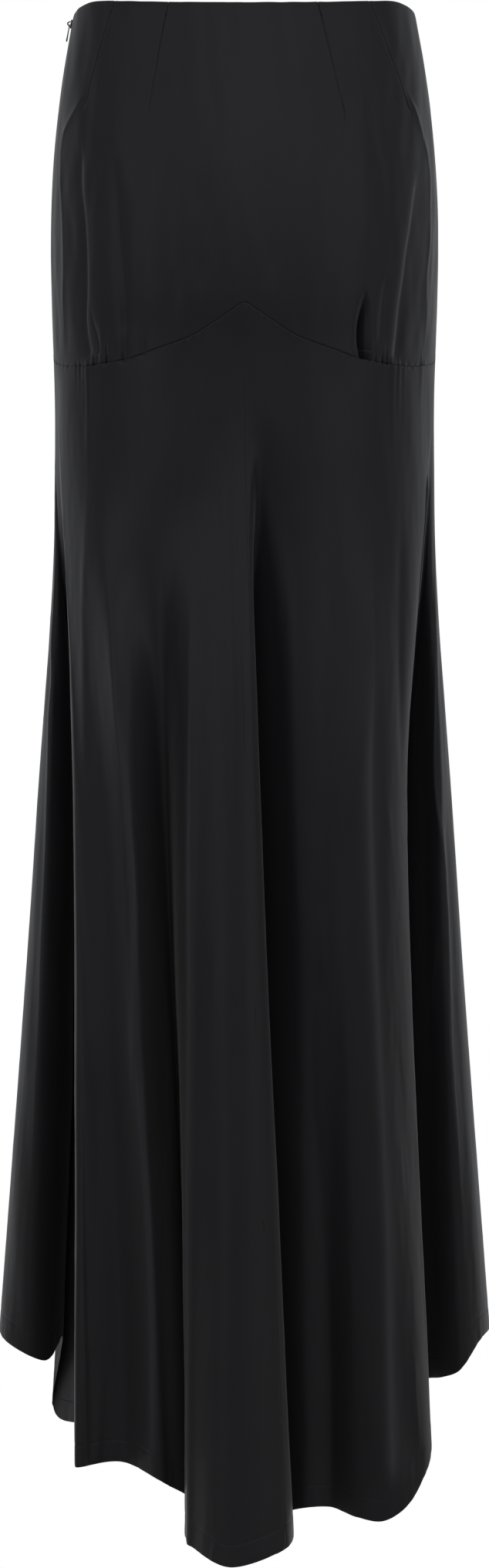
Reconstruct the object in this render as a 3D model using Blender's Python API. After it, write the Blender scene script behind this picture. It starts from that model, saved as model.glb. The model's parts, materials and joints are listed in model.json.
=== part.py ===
"""Long skirt with a train, as the pieces that a maker cuts and sews, each a thin closed wall.

The skirt hangs as it is worn, hollow and open at the waist and the hem. Metres, +Z up, and
"depth" is the distance down from the waist edge. The origin is the middle of the waist edge at
the side seams. The wearer faces +Y, so the back and its train are towards -Y, and the wearer's
left side, with the zip, is at -X.

Places round the skirt are given as a turn: 0 at centre back, 0.25 at the right side seam (+X),
0.5 at centre front and 0.75, or -0.25, at the left side seam (-X).
"""

import math
from bisect import bisect_right
from collections import namedtuple

import bmesh
import bpy
import numpy as np
from mathutils import Matrix, Vector

# ---------------------------------------------------------------- driving dimensions, in metres
WALL = 0.0015  # cloth thickness
SEAM_GAP = 0.0003  # between neighbouring pieces
SQUARENESS = 2.15  # power of the body's sections: 2 is an ellipse

Section = namedtuple("Section", "depth half_width back front")
BODY = (
    Section(0.000, 0.1507, 0.098, 0.096),  # waist edge
    Section(0.050, 0.1594, 0.107, 0.100),
    Section(0.100, 0.1656, 0.118, 0.104),  # high hip
    Section(0.155, 0.1696, 0.127, 0.107),
    Section(0.209, 0.1706, 0.132, 0.108),  # hip, the widest
    Section(0.258, 0.1696, 0.133, 0.107),
    Section(0.303, 0.1681, 0.131, 0.106),  # hip seam, which draws in
    Section(0.328, 0.1673, 0.131, 0.106),
    Section(0.370, 0.1668, 0.132, 0.106),
    Section(0.420, 0.1672, 0.133, 0.107),  # thigh
    Section(0.700, 0.1700, 0.138, 0.110),
    Section(1.250, 0.1850, 0.150, 0.125),
)

EdgePoint = namedtuple("EdgePoint", "turn depth")
WAIST_BACK = (  # each half of the back: low at the centre, highest over the dart by the side
    EdgePoint(0.000, 0.0038),
    EdgePoint(0.050, 0.0027),
    EdgePoint(0.082, 0.0010),
    EdgePoint(0.119, -0.0017),
    EdgePoint(0.169, -0.0051),
    EdgePoint(0.214, -0.0026),
    EdgePoint(0.250, 0.0000),
)
WAIST_FRONT_RISE = 0.0050  # the front's waist edge rises this much beside the side seams
WAIST_FRONT_DIP = 0.0040  # and dips this much at centre front

HIP_SEAM_BACK = (  # each half of the back: an upturned V with soft arms
    EdgePoint(0.00, 0.265),
    EdgePoint(0.02, 0.281),
    EdgePoint(0.04, 0.294),
    EdgePoint(0.07, 0.304),
    EdgePoint(0.10, 0.312),
    EdgePoint(0.15, 0.315),
    EdgePoint(0.20, 0.311),
    EdgePoint(0.25, 0.300),
)
HIP_SEAM_FRONT_DROP = 0.008  # the front's seam is level, this much lower at centre front

Dart = namedtuple("Dart", "waist_turn tip_turn length")
DARTS = (
    Dart(-0.132, -0.156, 0.089),
    Dart(-0.067, -0.079, 0.097),
    Dart(0.064, 0.084, 0.106),
    Dart(0.125, 0.164, 0.093),
)
DART_SINK = 0.0006  # a dart's stitched line lies this much lower than the cloth
DART_HALF_TURN = 0.003  # a dart's crease is this wide on each side, in turns

# Where each fold's crest or hollow runs: it leaves the body at its start, at its turn, passes its
# calf point and ends near its ankle point. hem is the depth of the cloth's edge there.
CALF, ANKLE = 0.70, 1.25
Fold = namedtuple("Fold", "name turn start calf_x calf_y ankle_x ankle_y hem calf", defaults=(CALF,))
BACK_FOLDS = (
    Fold("left_side_seam", -0.250, 0.42, -0.1830, 0.000, -0.2230, 0.000, 1.156),
    Fold("left_side_brow", -0.2465, 0.41, -0.1770, -0.028, -0.2085, -0.037, 1.168),
    Fold("left_side_crest", -0.243, 0.40, -0.1700, -0.038, -0.1910, -0.048, 1.175),
    Fold("left_side_shoulder", -0.2395, 0.38, -0.1594, -0.033, -0.1760, -0.041, 1.180),
    Fold("left_side_hollow", -0.236, 0.36, -0.1480, -0.014, -0.1610, -0.016, 1.162),
    Fold("left_tuck_crest", -0.229, 0.36, -0.1500, 0.008, -0.1705, 0.012, 1.222),
    Fold("left_tuck_hollow", -0.219, 0.36, -0.1380, 0.000, -0.1400, -0.034, 1.238),
    Fold("left_panel_edge", -0.207, 0.34, -0.1425, -0.118, -0.1345, -0.176, 1.252),
    Fold("left_panel_inner", -0.180, 0.36, -0.1230, -0.135, -0.1060, -0.163, 1.250),
    Fold("left_panel_crest", -0.147, 0.38, -0.1090, -0.141, -0.0715, -0.190, 1.262, 0.60),
    Fold("left_panel_hollow", -0.079, 0.42, -0.0735, -0.124, -0.0440, -0.126, 1.290, 0.62),
    Fold("train_left_edge", -0.038, 0.42, -0.0466, -0.153, -0.0454, -0.213, 1.311, 0.60),
    Fold("train_crest", -0.018, 0.36, -0.0150, -0.168, -0.0105, -0.245, 1.324, 0.60),
    Fold("train_right_edge", -0.006, 0.34, -0.0020, -0.170, 0.0202, -0.238, 1.316, 0.60),
    Fold("centre_back_seam", 0.000, 0.34, 0.0070, -0.166, 0.0324, -0.230, 1.311, 0.60),
    Fold("right_panel_hollow", 0.019, 0.36, 0.0080, -0.108, 0.0292, -0.138, 1.298, 0.58),
    Fold("right_panel_slope", 0.046, 0.40, 0.0440, -0.137, 0.0519, -0.156, 1.290, 0.62),
    Fold("right_panel_dip", 0.072, 0.40, 0.0700, -0.141, 0.0728, -0.152, 1.290),
    Fold("right_panel_rise", 0.093, 0.40, 0.0890, -0.143, 0.0945, -0.1685, 1.296),
    Fold("right_panel_crest", 0.114, 0.40, 0.1085, -0.143, 0.1180, -0.178, 1.297),
    Fold("right_panel_corner", 0.168, 0.40, 0.1290, -0.131, 0.1490, -0.163, 1.268),
    Fold("right_panel_edge", 0.208, 0.36, 0.1380, -0.110, 0.1585, -0.146, 1.234),
    Fold("right_side_hollow", 0.220, 0.36, 0.1475, -0.012, 0.1630, -0.030, 1.197),
    Fold("right_side_shoulder", 0.230, 0.38, 0.1595, -0.033, 0.1745, -0.045, 1.194),
    Fold("right_side_crest", 0.240, 0.40, 0.1690, -0.041, 0.1890, -0.052, 1.188),
    Fold("right_side_brow", 0.246, 0.41, 0.1775, -0.030, 0.2090, -0.040, 1.165),
    Fold("right_side_seam", 0.250, 0.42, 0.1830, 0.000, 0.2230, 0.000, 1.155),
)

# The front's folds fall plainly: reach is how far out each line stands, from the waist's middle.
FrontFold = namedtuple("FrontFold", "name turn calf_reach ankle_reach ankle_turn")
FRONT_FOLDS = (
    FrontFold("front_hollow_a", 0.295, 0.146, 0.168, 0.300),
    FrontFold("front_crest_a", 0.345, 0.152, 0.204, 0.350),
    FrontFold("front_hollow_b", 0.400, 0.122, 0.140, 0.402),
    FrontFold("front_crest_b", 0.455, 0.132, 0.180, 0.452),
    FrontFold("front_hollow_c", 0.505, 0.112, 0.134, 0.503),
    FrontFold("front_crest_c", 0.555, 0.130, 0.176, 0.556),
    FrontFold("front_hollow_d", 0.610, 0.120, 0.144, 0.607),
    FrontFold("front_crest_d", 0.660, 0.150, 0.200, 0.655),
    FrontFold("front_hollow_e", 0.705, 0.148, 0.170, 0.700),
)
FRONT_FOLD_START = 0.42
FRONT_HEM = 1.080  # depth of the hem at centre front
SIDE_HEM = 1.156

SKIRT_COLUMN = 0.019  # the lower skirt's facets are about this wide at the hem
SKIRT_ROWS = 15
YOKE_ROWS = 8

# The zip: a strip inside the left side seam, with its slider near the waist edge.
ZIP_LENGTH = 0.200
ZIP_TAPE_HALF_TURN = 0.017
ZIP_TAPE_INSET = 0.003  # below the waist edge
ZIP_THICKNESS = 0.0010
ZIP_ROWS = 8
SLIDER_DEPTH = 0.0065  # its middle
SLIDER_PLATE = Vector((0.0012, 0.0052, 0.0078))  # out of the cloth, across, and down the seam
ARCH_WIDTH = 0.0014
ARCH_HEIGHT = 0.0052  # down the seam
ARCH_REACH = 0.0030  # out of the plate
ARCH_BAR = 0.0009
PULL_THICKNESS = 0.0009
PULL_LENGTH = 0.0155
PULL_TOP_WIDTH = 0.0036
PULL_WIDTH = 0.0048
PULL_EYE = (0.0020, 0.0040)  # the opening round the arch, across and down
PULL_BAR = 0.0009  # the bar above the eye, which turns in the arch
PULL_END_SIDES = 8

SATIN = ("black_satin", (0.0125, 0.0125, 0.0145), 0.42, 0.0)
TAPE = ("black_tape", (0.010, 0.010, 0.011), 0.75, 0.0)
ZIP_METAL = ("black_lacquered_metal", (0.012, 0.012, 0.013), 0.35, 0.6)


# ---------------------------------------------------------------- curves through the tables
def slopes(knots, values, steady):
    """The slope at each knot: the parabola's through three knots, or a steady curve's."""
    chords = [(b - a) / (k - h) for a, b, h, k in zip(values, values[1:], knots, knots[1:])]
    found = [chords[0]]
    for before, after, low, mid, high in zip(chords, chords[1:], knots, knots[1:], knots[2:]):
        if steady:
            turns_back = before * after <= 0.0
            found.append(0.0 if turns_back else 2.0 * before * after / (before + after))
        else:
            found.append((before * (high - mid) + after * (mid - low)) / (high - low))
    return found + [chords[-1]]


def through(knots, values, at, steady=False):
    """A smooth curve through the values, straight beyond its ends."""
    bend = slopes(knots, values, steady)
    if at <= knots[0]:
        return values[0] + bend[0] * (at - knots[0])
    if at >= knots[-1]:
        return values[-1] + bend[-1] * (at - knots[-1])
    i = bisect_right(knots, at) - 1
    span = knots[i + 1] - knots[i]
    t = (at - knots[i]) / span
    fade = t * t * (3.0 - 2.0 * t)
    lift_a = t * (1.0 - t) ** 2 * span * bend[i]
    lift_b = t * t * (t - 1.0) * span * bend[i + 1]
    return values[i] * (1.0 - fade) + values[i + 1] * fade + lift_a + lift_b


# ---------------------------------------------------------------- the body that fills the skirt
DEPTHS = [row.depth for row in BODY]
HALF_WIDTHS = [row.half_width for row in BODY]
BACKS = [row.back for row in BODY]
FRONTS = [row.front for row in BODY]


def body_point(turn, depth):
    """The cloth's outer face on the body, before any fold."""
    angle = 2.0 * math.pi * turn
    across, along = math.sin(angle), -math.cos(angle)
    reach = through(DEPTHS, BACKS if along < 0.0 else FRONTS, depth)
    power = 2.0 / SQUARENESS
    x = math.copysign(abs(across) ** power, across) * through(DEPTHS, HALF_WIDTHS, depth)
    y = math.copysign(abs(along) ** power, along) * reach
    return Vector((x, y, -depth))


def waist_depth(turn):
    """The waist edge: highest between the seams, lowest at centre back and centre front."""
    turn = (turn + 0.5) % 1.0 - 0.5
    if abs(turn) <= 0.25:
        knots = [point.turn for point in WAIST_BACK]
        return through(knots, [point.depth for point in WAIST_BACK], abs(turn), steady=True)
    angle = 2.0 * math.pi * turn
    return WAIST_FRONT_DIP * math.cos(angle) ** 2 - WAIST_FRONT_RISE * abs(math.sin(2.0 * angle))


def hip_seam_depth(turn):
    """The seam between the yoke and the lower skirt."""
    turn = (turn + 0.5) % 1.0 - 0.5
    if abs(turn) <= 0.25:
        knots = [point.turn for point in HIP_SEAM_BACK]
        return through(knots, [point.depth for point in HIP_SEAM_BACK], abs(turn), steady=True)
    front = math.cos(2.0 * math.pi * turn) ** 2
    return HIP_SEAM_BACK[-1].depth + HIP_SEAM_FRONT_DROP * front


# ---------------------------------------------------------------- the lower skirt's folds
def front_fold(row):
    """A front row as a full fold row, its hem between the side's and centre front's."""
    at_calf, at_ankle = 2.0 * math.pi * row.turn, 2.0 * math.pi * row.ankle_turn
    share = math.cos(at_ankle) ** 2
    return Fold(
        row.name,
        row.turn,
        FRONT_FOLD_START,
        row.calf_reach * math.sin(at_calf),
        -row.calf_reach * math.cos(at_calf),
        row.ankle_reach * math.sin(at_ankle),
        -row.ankle_reach * math.cos(at_ankle),
        SIDE_HEM + (FRONT_HEM - SIDE_HEM) * share,
    )


FOLDS = BACK_FOLDS + tuple(front_fold(row) for row in FRONT_FOLDS)
CENTRE_BACK = [fold.name for fold in FOLDS].index("centre_back_seam")
RIGHT_SIDE = [fold.name for fold in FOLDS].index("right_side_seam")


def fold_shift(fold, depth):
    """How far a fold's line stands from the body, sideways and backwards, at a depth."""
    if depth <= fold.start:
        return Vector((0.0, 0.0))
    start = body_point(fold.turn, fold.start)
    knots = (0.0, fold.start, fold.calf, ANKLE)
    x = through(knots, (start.x, start.x, fold.calf_x, fold.ankle_x), depth, steady=True)
    y = through(knots, (start.y, start.y, fold.calf_y, fold.ankle_y), depth, steady=True)
    return Vector((x, y)) - body_point(fold.turn, depth).xy


def hem_places():
    """Each fold line's place round the hem: metres along the straight runs between the lines."""
    places = [0.0]
    ends = [Vector((fold.ankle_x, fold.ankle_y)) for fold in FOLDS]
    for here, after in zip(ends, ends[1:] + ends[:1]):
        places.append(places[-1] + (after - here).length)
    return places[:-1], places[-1]


PLACES, HEM_ROUND = hem_places()
LINES = len(FOLDS)


class Neighbours:
    """The fold lines about a place on the hem, counted on past the last line."""

    def __init__(self, place):
        line = bisect_right(PLACES, place) - 1
        counted = [divmod(line + step, LINES) for step in (-2, -1, 0, 1, 2, 3)]
        self.folds = [FOLDS[index] for _, index in counted]
        self.knots = [PLACES[index] + laps * HEM_ROUND for laps, index in counted]
        self.turns = [FOLDS[index].turn + laps for laps, index in counted]
        self.place = place

    def turn(self):
        return through(self.knots, self.turns, self.place, steady=True)

    def hem(self):
        return through(self.knots, [fold.hem for fold in self.folds], self.place)

    def shift(self, depth):
        shifts = [fold_shift(fold, depth) for fold in self.folds]
        return [through(self.knots, list(places), self.place) for places in zip(*shifts)]


def skirt_point(place, depth):
    """The lower skirt's outer face: the body, moved by the folds on either side."""
    about = Neighbours(place)
    x, y = about.shift(depth)
    return body_point(about.turn(), depth) + Vector((x, y, 0.0))


def skirt_top(place):
    return hip_seam_depth(Neighbours(place).turn())


def skirt_hem(place):
    return Neighbours(place).hem()


# ---------------------------------------------------------------- walls of cloth
STEP = 0.0008  # for reading a surface's direction

# A grid column runs from its place at the top, past its middle place, to its place at the foot.
# turning is the share of the way down to the middle, and dent sinks the cloth above that.
Column = namedtuple("Column", "top middle foot turning dent")


def straight(place):
    return Column(place, place, place, 0.5, 0.0)


def filled(places, width):
    """The places, with more between them where they stand further apart than a width."""
    made = []
    for low, high in zip(places, places[1:]):
        count = max(1, round((high - low) / width))
        made += [low + (high - low) * step / count for step in range(count)]
    return made + [places[-1]]


def directions(surface, place, depth):
    """The surface's direction along the section, and its outward normal, at a point."""
    sideways = surface(place + STEP, depth) - surface(place - STEP, depth)
    downwards = surface(place, depth + STEP) - surface(place, depth - STEP)
    return sideways.normalized(), downwards.cross(sideways).normalized()


def cloth_wall(name, columns, rows, surface, top, bottom, sink=0.0, wall=WALL):
    """A closed wall of cloth from a grid laid on surface(place, depth), sunk inwards by sink.

    Each edge stands half a seam gap back from the seam's line.
    """
    count = len(columns) - 1
    bm = bmesh.new()
    bmesh.ops.create_grid(bm, x_segments=count, y_segments=rows, size=0.5)
    inward = bm.verts.layers.float_vector.new("inward")
    for vert in bm.verts:
        number = round((vert.co.x + 0.5) * count)
        column = columns[number]
        share = vert.co.y + 0.5
        place = np.interp(share, (0.0, column.turning, 1.0), (column.top, column.middle, column.foot))
        dent = column.dent if share < column.turning else 0.0
        high = top(place) + 0.5 * SEAM_GAP
        low = bottom(place) - 0.5 * SEAM_GAP
        depth = high + (low - high) * share
        along, out = directions(surface, place, depth)
        side = (number == 0) - (number == count)
        vert.co = surface(place, depth) + along * (0.5 * SEAM_GAP * side) - out * (sink + dent)
        vert[inward] = -out * wall
    inner = bmesh.ops.extrude_face_region(bm, geom=bm.faces[:], use_keep_orig=True)["geom"]
    for vert in inner:
        if isinstance(vert, bmesh.types.BMVert):
            vert.co += vert[inward]
    bmesh.ops.recalc_face_normals(bm, faces=bm.faces[:])
    return as_object(name, bm)


def as_object(name, bm, place=Matrix()):
    """The bmesh as a scene object at a place, with smooth faces and sharp rims."""
    mesh = bpy.data.meshes.new(name)
    bm.to_mesh(mesh)
    bm.free()
    mesh.shade_smooth()
    mesh.set_sharp_from_angle(angle=math.radians(50.0))
    made = bpy.data.objects.new(name, mesh)
    made.matrix_world = place
    bpy.context.scene.collection.objects.link(made)
    return made


# ---------------------------------------------------------------- the cut pieces
def panel_places(first, last):
    """Places round the hem for a lower piece's columns, one of them on every fold line."""
    return filled((PLACES + [HEM_ROUND])[first : last + 1], SKIRT_COLUMN)


BACK_LEFT_PLACES = panel_places(0, CENTRE_BACK)
BACK_RIGHT_PLACES = panel_places(CENTRE_BACK, RIGHT_SIDE)
FRONT_PLACES = panel_places(RIGHT_SIDE, LINES)


def seam_turns(places):
    """Where a lower piece's columns meet the yoke, so that the yoke's columns meet them."""
    return [Neighbours(place).turn() for place in places]


def yoke_back():
    """The back yoke, one piece from side seam to side seam, creased along its four darts."""
    feet = seam_turns(BACK_LEFT_PLACES[:-1] + BACK_RIGHT_PLACES)
    yoke_length = 0.5 * (HIP_SEAM_BACK[0].depth + HIP_SEAM_BACK[-1].depth)
    anchors = {feet[0]: (feet[0], feet[0], 0.5), feet[-1]: (feet[-1], feet[-1], 0.5)}
    creased = []
    for dart in DARTS:
        nearest = min(range(len(feet)), key=lambda i: abs(feet[i] - dart.tip_turn))
        creased.append(nearest)
        for side in (-1, 0, 1):
            aside = side * DART_HALF_TURN
            bent = (dart.waist_turn + aside, dart.tip_turn + aside, dart.length / yoke_length)
            anchors[feet[nearest + side]] = bent
    known = sorted(anchors)
    columns = []
    for number, foot in enumerate(feet):
        top, middle, turning = [
            float(np.interp(foot, known, [anchors[turn][part] for turn in known])) for part in range(3)
        ]
        columns.append(Column(top, middle, foot, turning, DART_SINK if number in creased else 0.0))
    return cloth_wall("yoke_back", columns, YOKE_ROWS, body_point, waist_depth, hip_seam_depth)


def yoke_front():
    """The front yoke, one plain piece."""
    columns = [straight(turn) for turn in seam_turns(FRONT_PLACES)]
    return cloth_wall("yoke_front", columns, YOKE_ROWS, body_point, waist_depth, hip_seam_depth)


def lower_piece(name, places):
    """One lower piece, from the hip seam to the hem."""
    columns = [straight(place) for place in places]
    return cloth_wall(name, columns, SKIRT_ROWS, skirt_point, skirt_top, skirt_hem)


def zip_tape():
    """The concealed zip's closed strip, inside the left side seam."""
    columns = [straight(0.75 + 0.5 * step * ZIP_TAPE_HALF_TURN) for step in (-2, -1, 0, 1, 2)]
    inside = WALL + 2.0 * SEAM_GAP

    def top(turn):
        return waist_depth(turn) + ZIP_TAPE_INSET

    def end(turn):
        return ZIP_LENGTH

    return cloth_wall("zip_tape", columns, ZIP_ROWS, body_point, top, end, inside, ZIP_THICKNESS)


def slider_place():
    """The slider's frame on the side seam: out of the cloth, along it, and up it."""
    along, out = directions(body_point, 0.75, SLIDER_DEPTH)
    up = out.cross(along)
    turned = Matrix((out, along, up)).transposed().to_4x4()
    return Matrix.Translation(body_point(0.75, SLIDER_DEPTH) + out * SEAM_GAP) @ turned


def extruded(bm, outline, thickness, flat):
    """A plate of the outline, centred on its own plane; flat turns outline points into places."""
    face = bm.faces.new([bm.verts.new(flat(a, b)) for a, b in outline])
    bm.faces.ensure_lookup_table()
    face.normal_update()
    back = face.normal * (0.5 * thickness)
    bmesh.ops.translate(bm, verts=face.verts[:], vec=-back)
    made = bmesh.ops.extrude_face_region(bm, geom=[face], use_keep_orig=True)["geom"]
    moved = [vert for vert in made if isinstance(vert, bmesh.types.BMVert)]
    bmesh.ops.translate(bm, verts=moved, vec=2.0 * back)
    bmesh.ops.recalc_face_normals(bm, faces=bm.faces[:])


def box(bm, low, high):
    made = bmesh.ops.create_cube(bm, size=1.0)["verts"]
    bmesh.ops.scale(bm, verts=made, vec=high - low)
    bmesh.ops.translate(bm, verts=made, vec=0.5 * (low + high))


def with_boolean(target, tool, operation):
    """The target cut by, or joined with, a hidden tool object."""
    tool.hide_render = True
    tool.display_type = "WIRE"
    boolean = target.modifiers.new(operation.lower(), "BOOLEAN")
    boolean.operation = operation
    boolean.solver = "EXACT"
    boolean.object = tool
    return target


def zip_slider():
    """The slider's plate on the seam, with the arch that holds the pull tab."""
    place = slider_place()
    plate = bmesh.new()
    thick, across, down = SLIDER_PLATE
    box(plate, Vector((0.0, -0.5 * across, -0.5 * down)), Vector((thick, 0.5 * across, 0.5 * down)))
    edges = [edge for edge in plate.edges if abs(edge.verts[0].co.x - edge.verts[1].co.x) > 0.0]
    bmesh.ops.bevel(
        plate, geom=edges, offset=0.25 * across, segments=3, profile=0.5, affect="EDGES", material=-1
    )
    bmesh.ops.recalc_face_normals(plate, faces=plate.faces[:])
    slider = as_object("zip_slider", plate, place)
    root, reach, half, bar = 0.5 * thick, thick + ARCH_REACH, 0.5 * ARCH_HEIGHT, ARCH_BAR
    staple = (
        (root, -half), (reach, -half), (reach, half), (root, half),
        (root, half - bar), (reach - bar, half - bar), (reach - bar, bar - half), (root, bar - half),
    )  # fmt: skip
    arch = bmesh.new()
    extruded(arch, staple, ARCH_WIDTH, lambda out, up: Vector((out, 0.0, up)))
    return with_boolean(slider, as_object("zip_slider_arch", arch, place), "UNION")


def pull_axis():
    """The middle of the pull tab's bar, low in the slider's arch, in the slider's frame."""
    out = SLIDER_PLATE.x + 0.5 * PULL_THICKNESS + SEAM_GAP
    up = ARCH_BAR - 0.5 * ARCH_HEIGHT + SEAM_GAP + 0.5 * PULL_BAR
    return Vector((out, 0.0, up))


def zip_pull():
    """The pull tab: an eye round the slider's arch, widening to a rounded end."""
    place = slider_place() @ Matrix.Translation(pull_axis())
    top, radius = 0.5 * PULL_BAR, 0.5 * PULL_WIDTH
    low = top - PULL_LENGTH + radius
    outline = [(-0.5 * PULL_TOP_WIDTH, top), (0.5 * PULL_TOP_WIDTH, top)]
    for i in range(PULL_END_SIDES + 1):
        angle = math.pi * i / PULL_END_SIDES
        outline.append((radius * math.cos(angle), low - radius * math.sin(angle)))
    tab = bmesh.new()
    extruded(tab, outline, PULL_THICKNESS, lambda across, up: Vector((0.0, across, up)))
    pull = as_object("zip_pull", tab, place)
    wide, tall = PULL_EYE
    eye = bmesh.new()
    box(
        eye,
        Vector((-PULL_THICKNESS, -0.5 * wide, -0.5 * PULL_BAR - tall)),
        Vector((PULL_THICKNESS, 0.5 * wide, -0.5 * PULL_BAR)),
    )
    return with_boolean(pull, as_object("zip_pull_eye", eye, place), "DIFFERENCE")


# ---------------------------------------------------------------- materials and assembly
def finish(pieces, look):
    """Give the pieces one Principled material of their own look."""
    name, colour, roughness, metallic = look
    for piece in pieces:
        material = bpy.data.materials.new(f"{name}_{piece.name}")
        material.use_nodes = True
        shader = material.node_tree.nodes["Principled BSDF"]
        shader.inputs["Base Color"].default_value = (*colour, 1.0)
        shader.inputs["Roughness"].default_value = roughness
        shader.inputs["Metallic"].default_value = metallic
        piece.data.materials.append(material)


def main():
    for old in list(bpy.data.objects):
        bpy.data.objects.remove(old)
    cloth = [
        yoke_back(),
        yoke_front(),
        lower_piece("skirt_back_left", BACK_LEFT_PLACES),
        lower_piece("skirt_back_right", BACK_RIGHT_PLACES),
        lower_piece("skirt_front", FRONT_PLACES),
    ]
    finish(cloth, SATIN)
    finish([zip_tape()], TAPE)
    finish([zip_slider(), zip_pull()], ZIP_METAL)


main()
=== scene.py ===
"""The finished looks of a long black skirt with a train: its cloth, its zip and a plain studio.

Metres, +Z up. "Depth" is the distance down from the waist edge. The origin is the middle of the
waist edge at the side seams. The wearer faces +Y, so the back and its train are towards -Y, and
the wearer's left side, with the zip, is at -X.

A place on the yoke is its turn round the body: 0 at centre back, 0.25 at the right side seam
(+X), 0.5 at centre front and 0.75, or -0.25, at the left side seam. A place on the lower skirt is
its distance round the hem from the left side seam, past centre back.
"""

import json
import logging
import math
from collections.abc import Callable, Sequence
from dataclasses import dataclass, field
from enum import Enum

import bmesh
import bpy
import numpy as np
from mathutils import Matrix, Vector


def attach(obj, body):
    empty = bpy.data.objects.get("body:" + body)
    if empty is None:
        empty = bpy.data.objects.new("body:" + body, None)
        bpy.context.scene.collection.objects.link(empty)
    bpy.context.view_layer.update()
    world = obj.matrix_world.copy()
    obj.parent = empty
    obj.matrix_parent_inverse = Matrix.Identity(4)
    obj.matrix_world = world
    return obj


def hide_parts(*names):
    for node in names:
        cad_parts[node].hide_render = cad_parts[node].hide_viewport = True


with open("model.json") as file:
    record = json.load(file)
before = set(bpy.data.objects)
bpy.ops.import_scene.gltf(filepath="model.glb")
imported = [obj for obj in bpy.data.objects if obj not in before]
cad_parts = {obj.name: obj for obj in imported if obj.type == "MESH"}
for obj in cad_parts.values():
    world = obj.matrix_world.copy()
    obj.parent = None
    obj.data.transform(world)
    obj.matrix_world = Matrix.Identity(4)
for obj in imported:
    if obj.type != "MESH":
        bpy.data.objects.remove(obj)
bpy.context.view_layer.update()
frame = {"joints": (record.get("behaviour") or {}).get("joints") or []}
LOG = logging.getLogger("skirt")

Array = np.ndarray
Object = bpy.types.Object
Material = bpy.types.Material
Nodes = bpy.types.NodeTree
Node = bpy.types.Node
Socket = bpy.types.NodeSocket
Shape = bmesh.types.BMesh

GRAIN = "grain"  # the UV map of a cloth: metres across it and down it
PAINTED_HIGHLIGHT = "painted_highlight"  # the attribute of how far a painted highlight lightens the cloth's colour along its crests

CLOTH = 0.0005  # the cloth's own thickness
TURN_DEPTH = 0.0003  # how far a folded edge turns down
TURN_REACH = 0.0002  # and how far from its end it starts to
HIP_ROUND = 0.90  # the cloth's length round the hips, a whole turn


# ---- mesh helpers
def meshed(name: str, bm: Shape) -> bpy.types.Mesh:
    """A mesh of a shape.

    Args:
        name: the mesh's name.
        bm: the shape, which is used up.

    Returns:
        The mesh.
    """
    mesh = bpy.data.meshes.new(name)
    bm.to_mesh(mesh)
    bm.free()
    return mesh


def linked(name: str, data: bpy.types.ID) -> Object:
    """An object, put in the scene.

    Args:
        name: the object's name.
        data: its mesh, light or camera.

    Returns:
        The object.
    """
    made = bpy.data.objects.new(name, data)
    bpy.context.scene.collection.objects.link(made)
    return made


def sharp_edges(bm: Shape) -> list[bmesh.types.BMEdge]:
    """The edges of a shape where its faces turn by more than a radian."""
    return [edge for edge in bm.edges if edge.calc_face_angle(0.0) > 1.0]


def round_edges(bm: Shape, edges: list[bmesh.types.BMEdge], radius: float, segments: int) -> None:
    """Round some of a shape's edges.

    Args:
        bm: the shape.
        edges: the edges.
        radius: how far the rounding reaches from each.
        segments: how many faces it has across.
    """
    bmesh.ops.bevel(
        bm, geom=edges, offset=radius, segments=segments, profile=0.5, affect="EDGES", material=-1
    )


def close_rims(bm: Shape) -> None:
    """Fill a shape's open ends."""
    bmesh.ops.holes_fill(bm, edges=[edge for edge in bm.edges if edge.is_boundary])


# ---- smooth curves
def eased(share: Array) -> Array:
    """A rise from 0 to 1 that starts and ends level."""
    share = np.clip(share, 0.0, 1.0)
    return share * share * (3.0 - 2.0 * share)


def spanned(
    share: Array,
    span: Array,
    ends: tuple[Array, Array],
    bends: tuple[Array, Array],
) -> Array:
    """A cubic between two ends that leaves and meets them at given slopes.

    Args:
        share: how far along the span each point is, from 0 to 1.
        span: the span's length.
        ends: the values at its start and end.
        bends: the slopes there.

    Returns:
        The value at each point.
    """
    fade = eased(share)
    lift_a = share * (1.0 - share) ** 2 * span * bends[0]
    lift_b = share * share * (share - 1.0) * span * bends[1]
    return ends[0] * (1.0 - fade) + ends[1] * fade + lift_a + lift_b


def slope_between(before: Array, after: Array, low: Array, high: Array, steady: bool) -> Array:
    """The slope at a knot from the chords on either side of it.

    Args:
        before: the slope of the chord before the knot.
        after: the slope of the chord after it.
        low: the length of the span before the knot.
        high: the length of the span after it.
        steady: whether the curve may not swing past its own values.

    Returns:
        The slope at each knot.
    """
    if steady:
        both = np.where(before + after == 0.0, 1.0, before + after)
        return np.where(before * after > 0.0, 2.0 * before * after / both, 0.0)
    return (before * high + after * low) / (low + high)


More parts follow.
